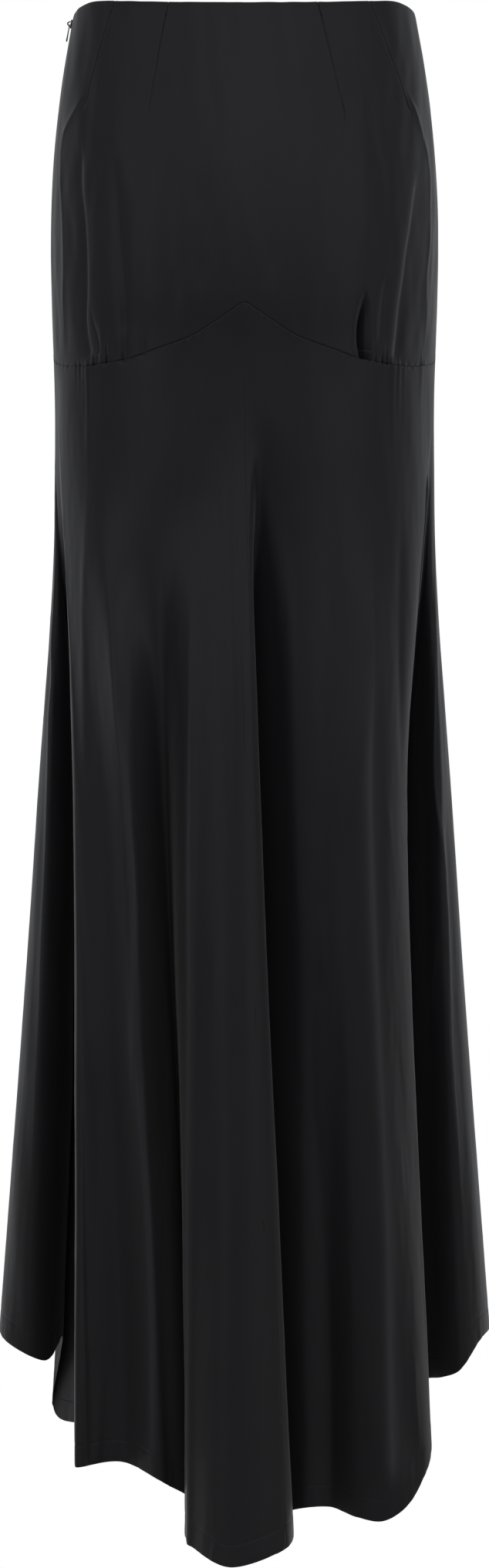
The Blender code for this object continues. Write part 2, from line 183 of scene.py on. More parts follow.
class Curve:
    """A smooth curve through values at rising knots, straight beyond its ends."""

    def __init__(
        self, knots: Sequence[float], values: Sequence[float], steady: bool = False
    ) -> None:
        """Work out the curve's slope at each knot.

        Args:
            knots: where the values are, rising.
            values: the values there.
            steady: whether the curve may not swing past its own values.
        """
        self.knots = np.asarray(knots, float)
        self.values = np.asarray(values, float)
        spans = np.diff(self.knots)
        chords = np.diff(self.values) / spans
        inner = slope_between(chords[:-1], chords[1:], spans[:-1], spans[1:], steady)
        self.bends = np.concatenate(([chords[0]], inner, [chords[-1]]))

    def __call__(self, at: Array | float) -> Array:
        """The curve's values.

        Args:
            at: where to read the curve.

        Returns:
            The value at each of those.
        """
        at = np.asarray(at, float)
        i = np.clip(np.searchsorted(self.knots, at, side="right") - 1, 0, len(self.knots) - 2)
        span = self.knots[i + 1] - self.knots[i]
        share = np.clip((at - self.knots[i]) / span, 0.0, 1.0)
        ends = (self.values[i], self.values[i + 1])
        inside = spanned(share, span, ends, (self.bends[i], self.bends[i + 1]))
        below = np.minimum(at - self.knots[0], 0.0) * self.bends[0]
        above = np.maximum(at - self.knots[-1], 0.0) * self.bends[-1]
        return inside + below + above


# ---- the body's form
@dataclass(frozen=True)
class Section:
    """A level section of the body that fills the skirt."""

    depth: float
    half_width: float
    back: float
    front: float


@dataclass(frozen=True)
class EdgePoint:
    """A point of the waist edge or of the hip seam, on half of the back."""

    turn: float
    depth: float


@dataclass
class Body:
    """The form that the cloth lies on before it folds, with its waist edge and hip seam."""

    squareness: float = 2.15  # power of the sections: 2 is an ellipse
    sections: tuple[Section, ...] = (
        Section(0.000, 0.1507, 0.098, 0.096),
        Section(0.050, 0.1594, 0.107, 0.100),
        Section(0.100, 0.1656, 0.118, 0.104),
        Section(0.155, 0.1696, 0.127, 0.107),
        Section(0.209, 0.1706, 0.132, 0.108),
        Section(0.258, 0.1696, 0.133, 0.107),
        Section(0.303, 0.1681, 0.131, 0.106),
        Section(0.328, 0.1673, 0.131, 0.106),
        Section(0.370, 0.1668, 0.132, 0.106),
        Section(0.420, 0.1672, 0.133, 0.107),
        Section(0.700, 0.1700, 0.138, 0.110),
        Section(1.250, 0.1850, 0.150, 0.125),
    )
    waist_back: tuple[EdgePoint, ...] = (
        EdgePoint(0.000, 0.0038),
        EdgePoint(0.050, 0.0027),
        EdgePoint(0.082, 0.0010),
        EdgePoint(0.119, -0.0017),
        EdgePoint(0.169, -0.0051),
        EdgePoint(0.214, -0.0026),
        EdgePoint(0.250, 0.0000),
    )
    waist_front_rise: float = 0.0050  # the front's waist edge rises this much beside the side seams
    waist_front_dip: float = 0.0040  # and dips this much at centre front
    hip_seam_back: tuple[EdgePoint, ...] = (
        EdgePoint(0.00, 0.265),
        EdgePoint(0.02, 0.281),
        EdgePoint(0.04, 0.294),
        EdgePoint(0.07, 0.304),
        EdgePoint(0.10, 0.312),
        EdgePoint(0.15, 0.315),
        EdgePoint(0.20, 0.311),
        EdgePoint(0.25, 0.300),
    )
    hip_seam_front_drop: float = 0.008  # the front's seam is this much lower at centre front

    def __post_init__(self) -> None:
        """Draw the curves through the sections and the seam."""
        depths = [row.depth for row in self.sections]
        self.half_width = Curve(depths, [row.half_width for row in self.sections])
        self.back = Curve(depths, [row.back for row in self.sections])
        self.front = Curve(depths, [row.front for row in self.sections])
        turns = [row.turn for row in self.hip_seam_back]
        self.seam = Curve(turns, [row.depth for row in self.hip_seam_back], steady=True)
        turns = [row.turn for row in self.waist_back]
        self.waist = Curve(turns, [row.depth for row in self.waist_back], steady=True)

    def point(self, turn: Array, depth: Array) -> Array:
        """The cloth's outer face before any fold.

        Args:
            turn: the turn round the body of each point.
            depth: its depth.

        Returns:
            The points, one in each row.
        """
        turn, depth = np.broadcast_arrays(np.asarray(turn, float), np.asarray(depth, float))
        angle = 2.0 * np.pi * turn
        across, along = np.sin(angle), -np.cos(angle)
        reach = np.where(along < 0.0, self.back(depth), self.front(depth))
        power = 2.0 / self.squareness
        x = np.sign(across) * np.abs(across) ** power * self.half_width(depth)
        y = np.sign(along) * np.abs(along) ** power * reach
        return np.stack((x, y, -depth), axis=-1)

    def waist_depth(self, turn: Array) -> Array:
        """The depth of the waist edge.

        Args:
            turn: the turn round the body of each point.

        Returns:
            The edge's depth at each turn.
        """
        turn = (np.asarray(turn, float) + 0.5) % 1.0 - 0.5
        angle = 2.0 * np.pi * turn
        rise = self.waist_front_rise * np.abs(np.sin(2.0 * angle))
        front = self.waist_front_dip * np.cos(angle) ** 2 - rise
        return np.where(np.abs(turn) <= 0.25, self.waist(np.abs(turn)), front)

    def hip_seam_depth(self, turn: Array) -> Array:
        """The depth of the seam between the yoke and the lower skirt.

        Args:
            turn: the turn round the body of each point.

        Returns:
            The seam's depth at each turn.
        """
        turn = (np.asarray(turn, float) + 0.5) % 1.0 - 0.5
        side = self.hip_seam_back[-1].depth
        front = side + self.hip_seam_front_drop * np.cos(2.0 * np.pi * turn) ** 2
        return np.where(np.abs(turn) <= 0.25, self.seam(np.abs(turn)), front)


# ---- the folds
@dataclass(frozen=True)
class Fold:
    """A crest or hollow that leaves the body at its start and runs down to the hem.

    turn is where round the body it starts. Its line passes (calf_x, calf_y) at the depth calf and
    (ankle_x, ankle_y) at the form's ankle depth. hem is the hem's depth on it.
    """

    name: str
    turn: float
    start: float
    calf_x: float
    calf_y: float
    ankle_x: float
    ankle_y: float
    hem: float
    calf: float = 0.70


@dataclass(frozen=True)
class FrontFold:
    """A crest or hollow of the front, by how far out it stands from the waist's middle."""

    name: str
    turn: float
    calf_reach: float
    ankle_reach: float
    ankle_turn: float


BACK_FOLDS = (
    Fold("left_side_seam", -0.250, 0.42, -0.1830, 0.000, -0.2230, 0.000, 1.156),
    Fold("left_side_brow", -0.2465, 0.41, -0.1770, -0.028, -0.2085, -0.037, 1.168),
    Fold("left_side_crest", -0.243, 0.40, -0.1700, -0.038, -0.1910, -0.048, 1.175),
    Fold("left_side_shoulder", -0.2395, 0.38, -0.1594, -0.033, -0.1760, -0.041, 1.180),
    Fold("left_side_hollow", -0.236, 0.36, -0.1480, -0.014, -0.1610, -0.016, 1.162),
    Fold("left_tuck_crest", -0.229, 0.36, -0.1500, 0.008, -0.1705, 0.012, 1.222),
    Fold("left_tuck_hollow", -0.219, 0.36, -0.1380, 0.000, -0.1400, -0.034, 1.238),
    Fold("left_panel_edge", -0.207, 0.34, -0.1425, -0.118, -0.1345, -0.176, 1.252),
    Fold("left_panel_inner", -0.180, 0.36, -0.1230, -0.135, -0.1060, -0.163, 1.250),
    Fold("left_panel_crest", -0.147, 0.38, -0.1090, -0.141, -0.0715, -0.190, 1.262, 0.60),
    Fold("left_panel_hollow", -0.079, 0.42, -0.0735, -0.124, -0.0440, -0.126, 1.290, 0.62),
    Fold("train_left_edge", -0.038, 0.42, -0.0466, -0.153, -0.0454, -0.213, 1.311, 0.60),
    Fold("train_crest", -0.018, 0.36, -0.0150, -0.168, -0.0105, -0.245, 1.324, 0.60),
    Fold("train_right_edge", -0.006, 0.34, -0.0020, -0.170, 0.0202, -0.238, 1.316, 0.60),
    Fold("centre_back_seam", 0.000, 0.34, 0.0070, -0.166, 0.0324, -0.230, 1.311, 0.60),
    Fold("right_panel_hollow", 0.019, 0.36, 0.0080, -0.108, 0.0292, -0.138, 1.298, 0.58),
    Fold("right_panel_slope", 0.046, 0.40, 0.0440, -0.137, 0.0519, -0.156, 1.290, 0.62),
    Fold("right_panel_dip", 0.072, 0.40, 0.0700, -0.141, 0.0728, -0.152, 1.290),
    Fold("right_panel_rise", 0.093, 0.40, 0.0890, -0.143, 0.0945, -0.1685, 1.296),
    Fold("right_panel_crest", 0.114, 0.40, 0.1085, -0.143, 0.1180, -0.178, 1.297),
    Fold("right_panel_corner", 0.168, 0.40, 0.1290, -0.131, 0.1490, -0.163, 1.268),
    Fold("right_panel_edge", 0.208, 0.36, 0.1380, -0.110, 0.1585, -0.146, 1.234),
    Fold("right_side_hollow", 0.220, 0.36, 0.1475, -0.012, 0.1630, -0.030, 1.197),
    Fold("right_side_shoulder", 0.230, 0.38, 0.1595, -0.033, 0.1745, -0.045, 1.194),
    Fold("right_side_crest", 0.240, 0.40, 0.1690, -0.041, 0.1890, -0.052, 1.188),
    Fold("right_side_brow", 0.246, 0.41, 0.1775, -0.030, 0.2090, -0.040, 1.165),
    Fold("right_side_seam", 0.250, 0.42, 0.1830, 0.000, 0.2230, 0.000, 1.155),
)
FRONT_FOLDS = (
    FrontFold("front_hollow_a", 0.295, 0.146, 0.168, 0.300),
    FrontFold("front_crest_a", 0.345, 0.152, 0.204, 0.350),
    FrontFold("front_hollow_b", 0.400, 0.122, 0.140, 0.402),
    FrontFold("front_crest_b", 0.455, 0.132, 0.180, 0.452),
    FrontFold("front_hollow_c", 0.505, 0.112, 0.134, 0.503),
    FrontFold("front_crest_c", 0.555, 0.130, 0.176, 0.556),
    FrontFold("front_hollow_d", 0.610, 0.120, 0.144, 0.607),
    FrontFold("front_crest_d", 0.660, 0.150, 0.200, 0.655),
    FrontFold("front_hollow_e", 0.705, 0.148, 0.170, 0.700),
)


@dataclass
class LowerForm:
    """The lower skirt's form: the body, moved by the folds on either side of each place."""

    body: Body
    ankle: float = 1.25
    front_fold_start: float = 0.42
    front_hem: float = 1.080
    side_hem: float = 1.156

    def __post_init__(self) -> None:
        """Lay the fold lines round the hem, by the straight runs between their ankle points."""
        self.folds = BACK_FOLDS + tuple(self.front_fold(row) for row in FRONT_FOLDS)
        ends = np.array([(fold.ankle_x, fold.ankle_y) for fold in self.folds])
        runs = np.linalg.norm(np.roll(ends, -1, axis=0) - ends, axis=1)
        self.round = float(runs.sum())
        self.places = np.concatenate(([0.0], np.cumsum(runs)[:-1]))
        self.turns = np.array([fold.turn for fold in self.folds])
        self.hems = np.array([fold.hem for fold in self.folds])

    def front_fold(self, row: FrontFold) -> Fold:
        """A front row as a full fold row.

        Args:
            row: the front's crest or hollow.

        Returns:
            The same line, its hem between the side's and centre front's.
        """
        at_calf, at_ankle = 2.0 * math.pi * row.turn, 2.0 * math.pi * row.ankle_turn
        share = math.cos(at_ankle) ** 2
        return Fold(
            row.name,
            row.turn,
            self.front_fold_start,
            row.calf_reach * math.sin(at_calf),
            -row.calf_reach * math.cos(at_calf),
            row.ankle_reach * math.sin(at_ankle),
            -row.ankle_reach * math.cos(at_ankle),
            self.side_hem + (self.front_hem - self.side_hem) * share,
        )

    def place_of(self, name: str) -> float:
        """The place round the hem of a fold line, by its name."""
        return float(self.places[[fold.name for fold in self.folds].index(name)])

    def shift_of(self, fold: Fold, depth: Array) -> Array:
        """How far a fold's line stands from the body.

        Args:
            fold: the crest or hollow.
            depth: the depths to read it at.

        Returns:
            The distance sideways and backwards at each depth.
        """
        start = self.body.point(fold.turn, fold.start)
        knots = (0.0, fold.start, fold.calf, self.ankle)
        x = Curve(knots, (start[0], start[0], fold.calf_x, fold.ankle_x), steady=True)(depth)
        y = Curve(knots, (start[1], start[1], fold.calf_y, fold.ankle_y), steady=True)(depth)
        moved = np.stack((x, y), axis=-1) - self.body.point(fold.turn, depth)[..., :2]
        return moved * (depth > fold.start)[..., None]

    def between(self, place: Array, values: Array, lap: float = 0.0, steady: bool = False) -> Array:
        """A closed smooth curve round the hem through one value for each fold line.

        Args:
            place: the places to read it at.
            values: a row for each fold line, with one value or one for each place.
            lap: what the value gains in a full round.
            steady: whether the curve may not swing past its own values.

        Returns:
            The value at each place.
        """
        count = len(self.folds)
        line = np.clip(np.searchsorted(self.places, place, side="right") - 1, 0, count - 1)
        knots, read = [], []
        for step in (-1, 0, 1, 2):
            laps, index = np.divmod(line + step, count)
            knots.append(self.places[index] + laps * self.round)
            column = np.arange(len(place)) if values.shape[1] > 1 else 0
            read.append(values[index, column] + laps * lap)
        spans = [after - here for here, after in zip(knots, knots[1:])]
        chords = [(b - a) / span for a, b, span in zip(read, read[1:], spans)]
        low = slope_between(chords[0], chords[1], spans[0], spans[1], steady)
        high = slope_between(chords[1], chords[2], spans[1], spans[2], steady)
        share = (place - knots[1]) / spans[1]
        return spanned(share, spans[1], (read[1], read[2]), (low, high))

    def turn(self, place: Array) -> Array:
        """The turn round the body where each place's cloth meets the hip seam."""
        return self.between(place, self.turns[:, None], lap=1.0, steady=True)

    def hem(self, place: Array) -> Array:
        """The depth of the hem at each place."""
        return self.between(place, self.hems[:, None])

    def top(self, place: Array) -> Array:
        """The depth of the hip seam at each place."""
        return self.body.hip_seam_depth(self.turn(place))

    def point(self, place: Array, depth: Array) -> Array:
        """The lower skirt's outer face.

        Args:
            place: the place round the hem of each point.
            depth: its depth.

        Returns:
            The points, in the shape of the places.
        """
        place, depth = np.broadcast_arrays(np.asarray(place, float), np.asarray(depth, float))
        flat_place, flat_depth = place.ravel(), depth.ravel()
        shifts = np.stack([self.shift_of(fold, flat_depth) for fold in self.folds])
        points = self.body.point(self.turn(flat_place), flat_depth)
        points[:, 0] += self.between(flat_place, shifts[..., 0])
        points[:, 1] += self.between(flat_place, shifts[..., 1])
        return points.reshape(*place.shape, 3)


# ---- creases
@dataclass(frozen=True)
class Crease:
    """A ridge, or a trough where its height is below 0, along a path on the cloth.

    Its path's points are (across, depth): metres to the right of the centre and metres down.
    near is the fold line that it runs beside, or "dart" where it goes on down from a dart. width
    is how fast its flanks fade, or only the flank before it, to the left on the back, where after
    gives the other one's. crest is the roundness of its top, and its highlight share how far a
    painted highlight lightens the colour of its top. rise and fall are the shares of its length
    over which it swells and dies away. The cloth's columns run along it where it leads them.
    """

    path: tuple[tuple[float, float], ...]
    height: float
    width: float
    crest: float = 0.001
    near: str = ""
    rise: float = 0.3
    fall: float = 0.3
    after: float = 0.0
    leads: bool = False
    painted_highlight: float = 0.0


@dataclass(frozen=True)
class Guide:
    """A line down a piece that its columns run along: the places it passes, by depth."""

    depths: Array
    places: Array

    @property
    def home(self) -> float:
        """The place of its column where the columns are spaced."""
        return float(np.median(self.places))

    def at(self, depth: Array) -> Array:
        """Its place at each depth."""
        return np.interp(depth, self.depths, self.places)


@dataclass(eq=False)
class CreasePath:
    """A crease laid on a piece's surface, ready to lift or sink the cloth about it."""

    crease: Crease
    points: Array  # in space, along the path
    places: Array  # the same points' places on the piece
    window: float  # the furthest place from the path that it may touch
    flank_reach: float = 5.0  # it ends this many flank widths
    crest_reach: float = 2.0  # and crest radii away from its path
    fade: float = 0.5  # the outer share of that reach over which it fades out

    def guide(self) -> Guide:
        """The guide that runs along it."""
        return Guide(-self.points[:, 2], self.places)

    def shape(self, xyz: Array, place: Array) -> Array:
        """The crease's shape, 1 along the full part of its top.

        Args:
            xyz: the cloth's points, before any crease.
            place: their places on the piece.

        Returns:
            The share of its height at each point.
        """
        after = self.crease.after or self.crease.width
        crest = self.crease.crest
        reach = self.flank_reach * max(self.crease.width, after) + self.crest_reach * crest
        low, high = self.points.min(axis=0) - reach, self.points.max(axis=0) + reach
        near = np.all((xyz > low) & (xyz < high), axis=-1)
        near &= place > self.places.min() - self.window
        near &= place < self.places.max() + self.window
        shape = np.zeros(place.shape)
        if not near.any():
            return shape
        start, run = self.points[:-1], np.diff(self.points, axis=0)
        offset = xyz[near][:, None, :] - start[None]
        share = np.clip((offset * run).sum(axis=-1) / (run * run).sum(axis=-1), 0.0, 1.0)
        gap = np.linalg.norm(offset - share[..., None] * run, axis=-1)
        closest = gap.argmin(axis=1)
        rows = np.arange(len(closest))
        away = gap[rows, closest]
        along = (closest + share[rows, closest]) / len(run)
        swell = eased(along / self.crease.rise) * eased((1.0 - along) / self.crease.fall)
        here = np.interp(closest + share[rows, closest], np.arange(len(self.places)), self.places)
        passed = place[near] > here
        width = np.where(passed, after, self.crease.width)
        flank = np.exp(-(np.sqrt(away**2 + crest**2) - crest) / width)
        fade = eased((reach - away) / (self.fade * reach))
        shape[near] = swell * flank * fade
        return shape


@dataclass(frozen=True)
class Ripples:
    """Slight uneven waves all over a piece, from a few crossing trains of them."""

    height: float
    length: float  # from crest to crest
    stretch: float = 3.0  # how much longer they run down the cloth than across it
    trains: int = 9
    seed: int = 1
    lengths: tuple[float, float] = (0.6, 1.7)  # the range of the trains' lengths, by length
    lean: float = 0.8  # the most that a train leans to a side
    sway: float = 0.9  # how far it sways, in radians of its waves
    sway_rate: float = 0.7  # how often, by its waves down the cloth

    def lift(self, across: Array, down: Array) -> Array:
        """How far the waves lift the cloth.

        Args:
            across: each point's distance across the piece.
            down: its distance down it.

        Returns:
            The lift along the cloth's normal at each point.
        """
        draw = np.random.default_rng(self.seed)
        total = np.zeros(across.shape)
        for _ in range(self.trains):
            size = 2.0 * math.pi / (self.length * draw.uniform(*self.lengths))
            lean = draw.uniform(-self.lean, self.lean)
            phase, start = draw.uniform(0.0, 2.0 * math.pi, 2)
            bend = self.sway * np.sin(down * size / self.stretch * self.sway_rate + start)
            total += np.sin(size * (across + lean * down / self.stretch) + phase + bend)
        return self.height * total / math.sqrt(self.trains)


STITCH_INSET = 0.001  # a hem's stitched line, from the inner edge of its allowance
STITCH_WIDTH = 0.0009  # how fast its groove fades
STITCH_STATIONS = (0.010, 0.006, 0.0035, 0.002, 0.0011, 0.0005, 0.0, -0.0005, -0.0011, -0.002)
HEM_SHARES = (0.72, 0.55, 0.38, 0.24, 0.13, 0.07)  # of the way from a hem to its stitched line
SEAM_STATIONS = (0.0140, 0.0105, 0.0080, 0.0060, 0.0046, 0.0035, 0.0026, 0.0019, 0.0013, 0.0009)
TURNED_SHARES = (0.06, 0.2, 0.45, 0.75, 1.0)  # of the width turned in
PUCKER_TRAINS = 4
PUCKER_LENGTHS = (0.6, 1.9)  # the range of a pucker's length, by the edge's own
PUCKER_REACH = 5.0  # how far puckers reach from a seam, by its groove


@dataclass(frozen=True)
class Edge:
    """A cut edge, turned in round a small radius, and how the cloth dips towards it.

    allowance is the width turned in, dip the depth of the groove at the edge and dip_width how
    far from the edge it fades. The groove of the stitched line that holds a hem is stitch deep,
    at the inner edge of its allowance. pucker is the height of the small ripples that the
    stitches draw up, each about pucker_length long. steps counts the lines round the turn.
    """

    allowance: float
    dip: float = 0.0
    dip_width: float = 0.0015
    stitch: float = 0.0
    pucker: float = 0.0
    pucker_length: float = 0.011
    joined: bool = True  # to another piece, so that the cloth's waves die away before it
    steps: int = 5

    def stations(self) -> Array:
        """The grid lines that run beside the edge.

        Returns:
            Rows of (distance into the piece, depth below its face), from furthest inside the
            piece on its face, round the turn, to the end of the allowance.
        """
        face = SEAM_STATIONS
        if self.stitch:
            held = self.allowance - STITCH_INSET
            face = (*(held + step for step in STITCH_STATIONS), *(held * row for row in HEM_SHARES))
        rows = [(distance, 0.0) for distance in face]
        for angle in (math.pi * step / self.steps for step in range(self.steps + 1)):
            out, down = 1.0 - math.sin(angle), 1.0 - math.cos(angle)
            rows.append((TURN_REACH * out, TURN_DEPTH * down))
        for share in TURNED_SHARES:
            rows.append((TURN_REACH + (self.allowance - TURN_REACH) * share, 2.0 * TURN_DEPTH))
        return np.array(rows)

    def lift(self, distance: Array, along: Array, seed: int) -> Array:
        """How the edge's groove, stitches and puckers lift or sink the cloth.

        Args:
            distance: each point's distance from the edge.
            along: its distance along the edge.
            seed: of the puckers' uneven spacing.

        Returns:
            The lift along the cloth's normal at each point.
        """
        lift = -self.dip * np.exp(-((distance / self.dip_width) ** 2))
        if self.stitch:
            line = (distance - self.allowance + STITCH_INSET) / STITCH_WIDTH
            lift -= self.stitch * np.exp(-(line**2))
        if self.pucker:
            draw = np.random.default_rng(seed)
            waves = np.zeros(along.shape)
            for _ in range(PUCKER_TRAINS):
                size = 2.0 * math.pi / (self.pucker_length * draw.uniform(*PUCKER_LENGTHS))
                waves += np.sin(size * along + draw.uniform(0.0, 2.0 * math.pi))
            reach = self.allowance if self.stitch else PUCKER_REACH * self.dip_width
            lift += 0.5 * self.pucker * waves * np.exp(-((distance / reach) ** 2))
        return lift


SEAM = Edge(allowance=0.009, dip=0.00005, dip_width=0.0012, pucker=0.00005)
HEM = Edge(
    allowance=0.019, dip=0.0002, dip_width=0.002, stitch=0.00022, pucker=0.00016, joined=False
)
WAIST = Edge(allowance=0.012, dip=0.0003, dip_width=0.002, joined=False)
GATHERED = Edge(allowance=0.009, dip=0.0004, dip_width=0.0005, pucker=0.00022, pucker_length=0.006)


# ---- cloth pieces
CLOSE_SHARES = (0.0006, 0.0013, 0.0022, 0.0034, 0.0050)  # of a piece's width, beside a line
SIDES = ("first", "last", "top", "bottom")  # a piece's edges, in order
Form = Callable[[Array, Array], Array]  # places and depths to points


def outwards(form: Form, place: Array, depth: Array, step: float) -> Array:
    """The directions out of a form.

    Args:
        form: the form.
        place: the place of each point.
        depth: its depth.
        step: how far to each side of a point the form is read.

    Returns:
        The direction at each point, one metre long.
    """
    sideways = form(place + step, depth) - form(place - step, depth)
    downwards = form(place, depth + step) - form(place, depth - step)
    out = np.cross(downwards, sideways)
    return out / np.linalg.norm(out, axis=-1, keepdims=True)


@dataclass
class ClothPiece:
    """One cut piece of cloth: a fine grid on its form, creased, its edges turned in.

    first and last are its side edges' places, and top and bottom give its other edges' depths.
    columns and rows count the grid's lines between the close ones beside its edges.
    """

    name: str
    form: Form
    first: float
    last: float
    top: Callable[[Array], Array]
    bottom: Callable[[Array], Array]
    edges: tuple[Edge, Edge, Edge, Edge]  # in the order of SIDES
    columns: int
    rows: int
    flat: tuple[float, float]  # the cut piece's width and length
    area: float  # and its flat area
    creases: tuple[CreasePath, ...] = ()
    ripples: tuple[Ripples, ...] = ()
    tucks: Callable[[Array, Array], Array] | None = None
    close: tuple[float, ...] = ()  # places beside which columns lie closest, such as darts
    dense: tuple[tuple[float, float, float], ...] = ()  # (place, width, how much denser)
    guides: tuple[Guide, ...] = ()  # from first to last
    crease_fade: float = 0.008  # how far from a seam down its side a crease dies away
    wave_fade: float = 0.025  # and from any seam its uneven waves do
    spacing_depth: float = 0.05  # below the top, where the columns are spaced
    samples: int = 2001
    least_run: float = 1e-5
    step: float = 0.0004  # for reading the form's direction
    seed: int = 1

    def rate(self, place: float, depth: Array) -> Array:
        """How wide the cloth is beside a side edge.

        Args:
            place: the side edge's place.
            depth: the depths to read it at.

        Returns:
            Metres of cloth to one unit of place, at each depth.
        """
        inner = self.step if place == self.first else -self.step
        here = self.form(np.full_like(depth, place), depth)
        beside = self.form(np.full_like(depth, place + inner), depth)
        return np.linalg.norm(beside - here, axis=-1) / self.step

    def lines(self, low: Array, high: Array, middle: Array) -> tuple[Array, Array, Array, Array]:
        """The grid lines between two edges.

        Args:
            low: the stations beside the first edge.
            high: the stations beside the other edge.
            middle: the lines between them, as shares of the way.

        Returns:
            For each line its distance from the first edge, its distance from the other edge,
            its share of the way between their furthest stations, and its depth below the face.
            A line that belongs to one edge has no distance (nan) from the other.
        """
        none = [np.full(len(part), np.nan) for part in (low, middle, high)]
        from_low = np.concatenate((low[::-1, 0], none[1], none[2]))
        from_high = np.concatenate((none[0], none[1], high[:, 0]))
        share = np.concatenate((np.zeros(len(low)), middle, np.ones(len(high))))
        inward = np.concatenate((low[::-1, 1], np.zeros(len(middle)), high[:, 1]))
        return from_low, from_high, share, inward

    def column_shares(self) -> Array:
        """The columns between the side edges' own, with more beside the close places.

        Returns:
            Each column's share of the way between those.
        """
        tried = np.linspace(0.0, 1.0, self.samples)
        density = np.ones_like(tried)
        for place, width, more in self.dense:
            away = (self.first + (self.last - self.first) * tried - place) / width
            density += more * np.exp(-(away**2))
        rising = np.concatenate(([0.0], np.cumsum(0.5 * (density[1:] + density[:-1]))))
        even = (np.arange(self.columns) + 1.0) / (self.columns + 1.0)
        shares = list(np.interp(even * rising[-1], rising, tried))
        near_top = self.top(np.array([self.first])) + self.spacing_depth
        reaches = (
            edge.stations()[0, 0] / self.rate(place, near_top)[0]
            for edge, place in zip(self.edges, (self.first, self.last))
        )
        reach = 0.5 * sum(reaches)
        homes = (guide.home for guide in self.guides if np.ptp(guide.places) > 0.0)
        for place in (*self.close, *homes):
            middle = (place - self.first - reach) / (self.last - self.first - 2.0 * reach)
            shares = [share for share in shares if abs(share - middle) > CLOSE_SHARES[-1]]
            shares += [middle + side * gap for gap in CLOSE_SHARES for side in (-1, 1)] + [middle]
        return np.unique(np.array(shares))

    def guided(self, place: Array, depth: Array) -> Array:
        """Move the columns so that they run along the guides.

        Args:
            place: the places as spaced.
            depth: the depth of each point.

        Returns:
            The place of each point.
        """
        homes = np.array([self.first, *(guide.home for guide in self.guides), self.last])
        ends = [np.full(depth.shape, end) for end in (self.first, self.last)]
        lines = np.stack([ends[0], *(guide.at(depth) for guide in self.guides), ends[1]])
        index = np.clip(np.searchsorted(homes, place, side="right") - 1, 0, len(homes) - 2)
        low = np.take_along_axis(lines, index[None], axis=0)[0]
        high = np.take_along_axis(lines, index[None] + 1, axis=0)[0]
        share = (place - homes[index]) / (homes[index + 1] - homes[index])
        return low + share * (high - low)

    def laid(self, spacing: tuple, start: Array, end: Array, furthest: tuple) -> Array:
        """Where the grid lines fall between two edges.

        Args:
            spacing: what lines() gives, shaped to fit the grid.
            start: the first edge's position.
            end: the other edge's position.
            furthest: how far from each edge its furthest station stands.

        Returns:
            The position of each grid line.
        """
        from_low, from_high, share, _ = spacing
        inner = start + furthest[0] + (end - furthest[1] - start - furthest[0]) * share
        placed = np.where(np.isnan(from_low), inner, start + from_low)
        return np.where(np.isnan(from_high), placed, end - from_high)

    def grid(self) -> dict[str, Array]:
        """The grid's places and depths, and its distances from the four edges.

        Returns:
            Arrays with a row for each line down the piece: place, depth, inward (how far a
            turned edge lies below the face), and first, last, top and bottom (the distances).
        """
        left, right, high, low = (edge.stations() for edge in self.edges)
        across = [line[None, :] for line in self.lines(left, right, self.column_shares())]
        even = (np.arange(self.rows) + 1.0) / (self.rows + 1.0)
        down = [line[:, None] for line in self.lines(high, low, even)]
        centre = np.full(1, 0.5 * (self.first + self.last))
        depth = self.laid(
            down, self.top(centre)[0], self.bottom(centre)[0], (high[0, 0], low[0, 0])
        )
        rates = [self.rate(place, depth[:, 0])[:, None] for place in (self.first, self.last)]
        from_first, from_last = across[0] / rates[0], across[1] / rates[1]
        furthest = (left[0, 0] / rates[0], right[0, 0] / rates[1])
        shape = (len(down[2]), across[2].shape[1])
        from_first = np.broadcast_to(from_first, shape)
        from_last = np.broadcast_to(from_last, shape)
        spacing = (from_first, from_last, across[2], None)
        place = self.laid(spacing, self.first, self.last, furthest)
        if self.guides:
            place = self.guided(place, np.broadcast_to(depth, shape))
        flat = place.ravel()
        top, bottom = self.top(flat).reshape(shape), self.bottom(flat).reshape(shape)
        depth = self.laid(down, top, bottom, (high[0, 0], low[0, 0]))
        return {
            "place": place,
            "depth": depth,
            "inward": across[3] + down[3],
            "first": (place - self.first) * rates[0],
            "last": (self.last - place) * rates[1],
            "top": depth - top,
            "bottom": bottom - depth,
        }

    def calm(self, at: dict[str, Array], width: float, sides: int) -> Array:
        """A fade to 0 at the edges that are joined to other pieces.

        Args:
            at: the grid.
            width: how wide the fade is.
            sides: how many of the four edges to fade at, from the first.

        Returns:
            The share that is left at each point.
        """
        share = np.ones(at["depth"].shape)
        for edge, side in zip(self.edges, SIDES[:sides]):
            if edge.joined:
                share *= eased(at[side] / width)
        return share

    def edge_lift(self, at: dict[str, Array], across: Array) -> Array:
        """How the four edges' grooves, stitches and puckers lift or sink the cloth.

        Args:
            at: the grid.
            across: each point's distance across the cloth.

        Returns:
            The lift along the cloth's normal at each point.
        """
        lift = np.zeros(across.shape)
        for number, (edge, side) in enumerate(zip(self.edges, SIDES)):
            distance, along = at[side], at["depth"]
            if number >= 2:
                row = -1 if side == "bottom" else 0
                fall, run = np.gradient(at["depth"][row]), np.gradient(across[row])
                slope = fall / np.maximum(run, self.least_run)
                distance, along = distance / np.sqrt(1.0 + slope**2), across
            lift += edge.lift(distance, along, self.seed + number)
        return lift

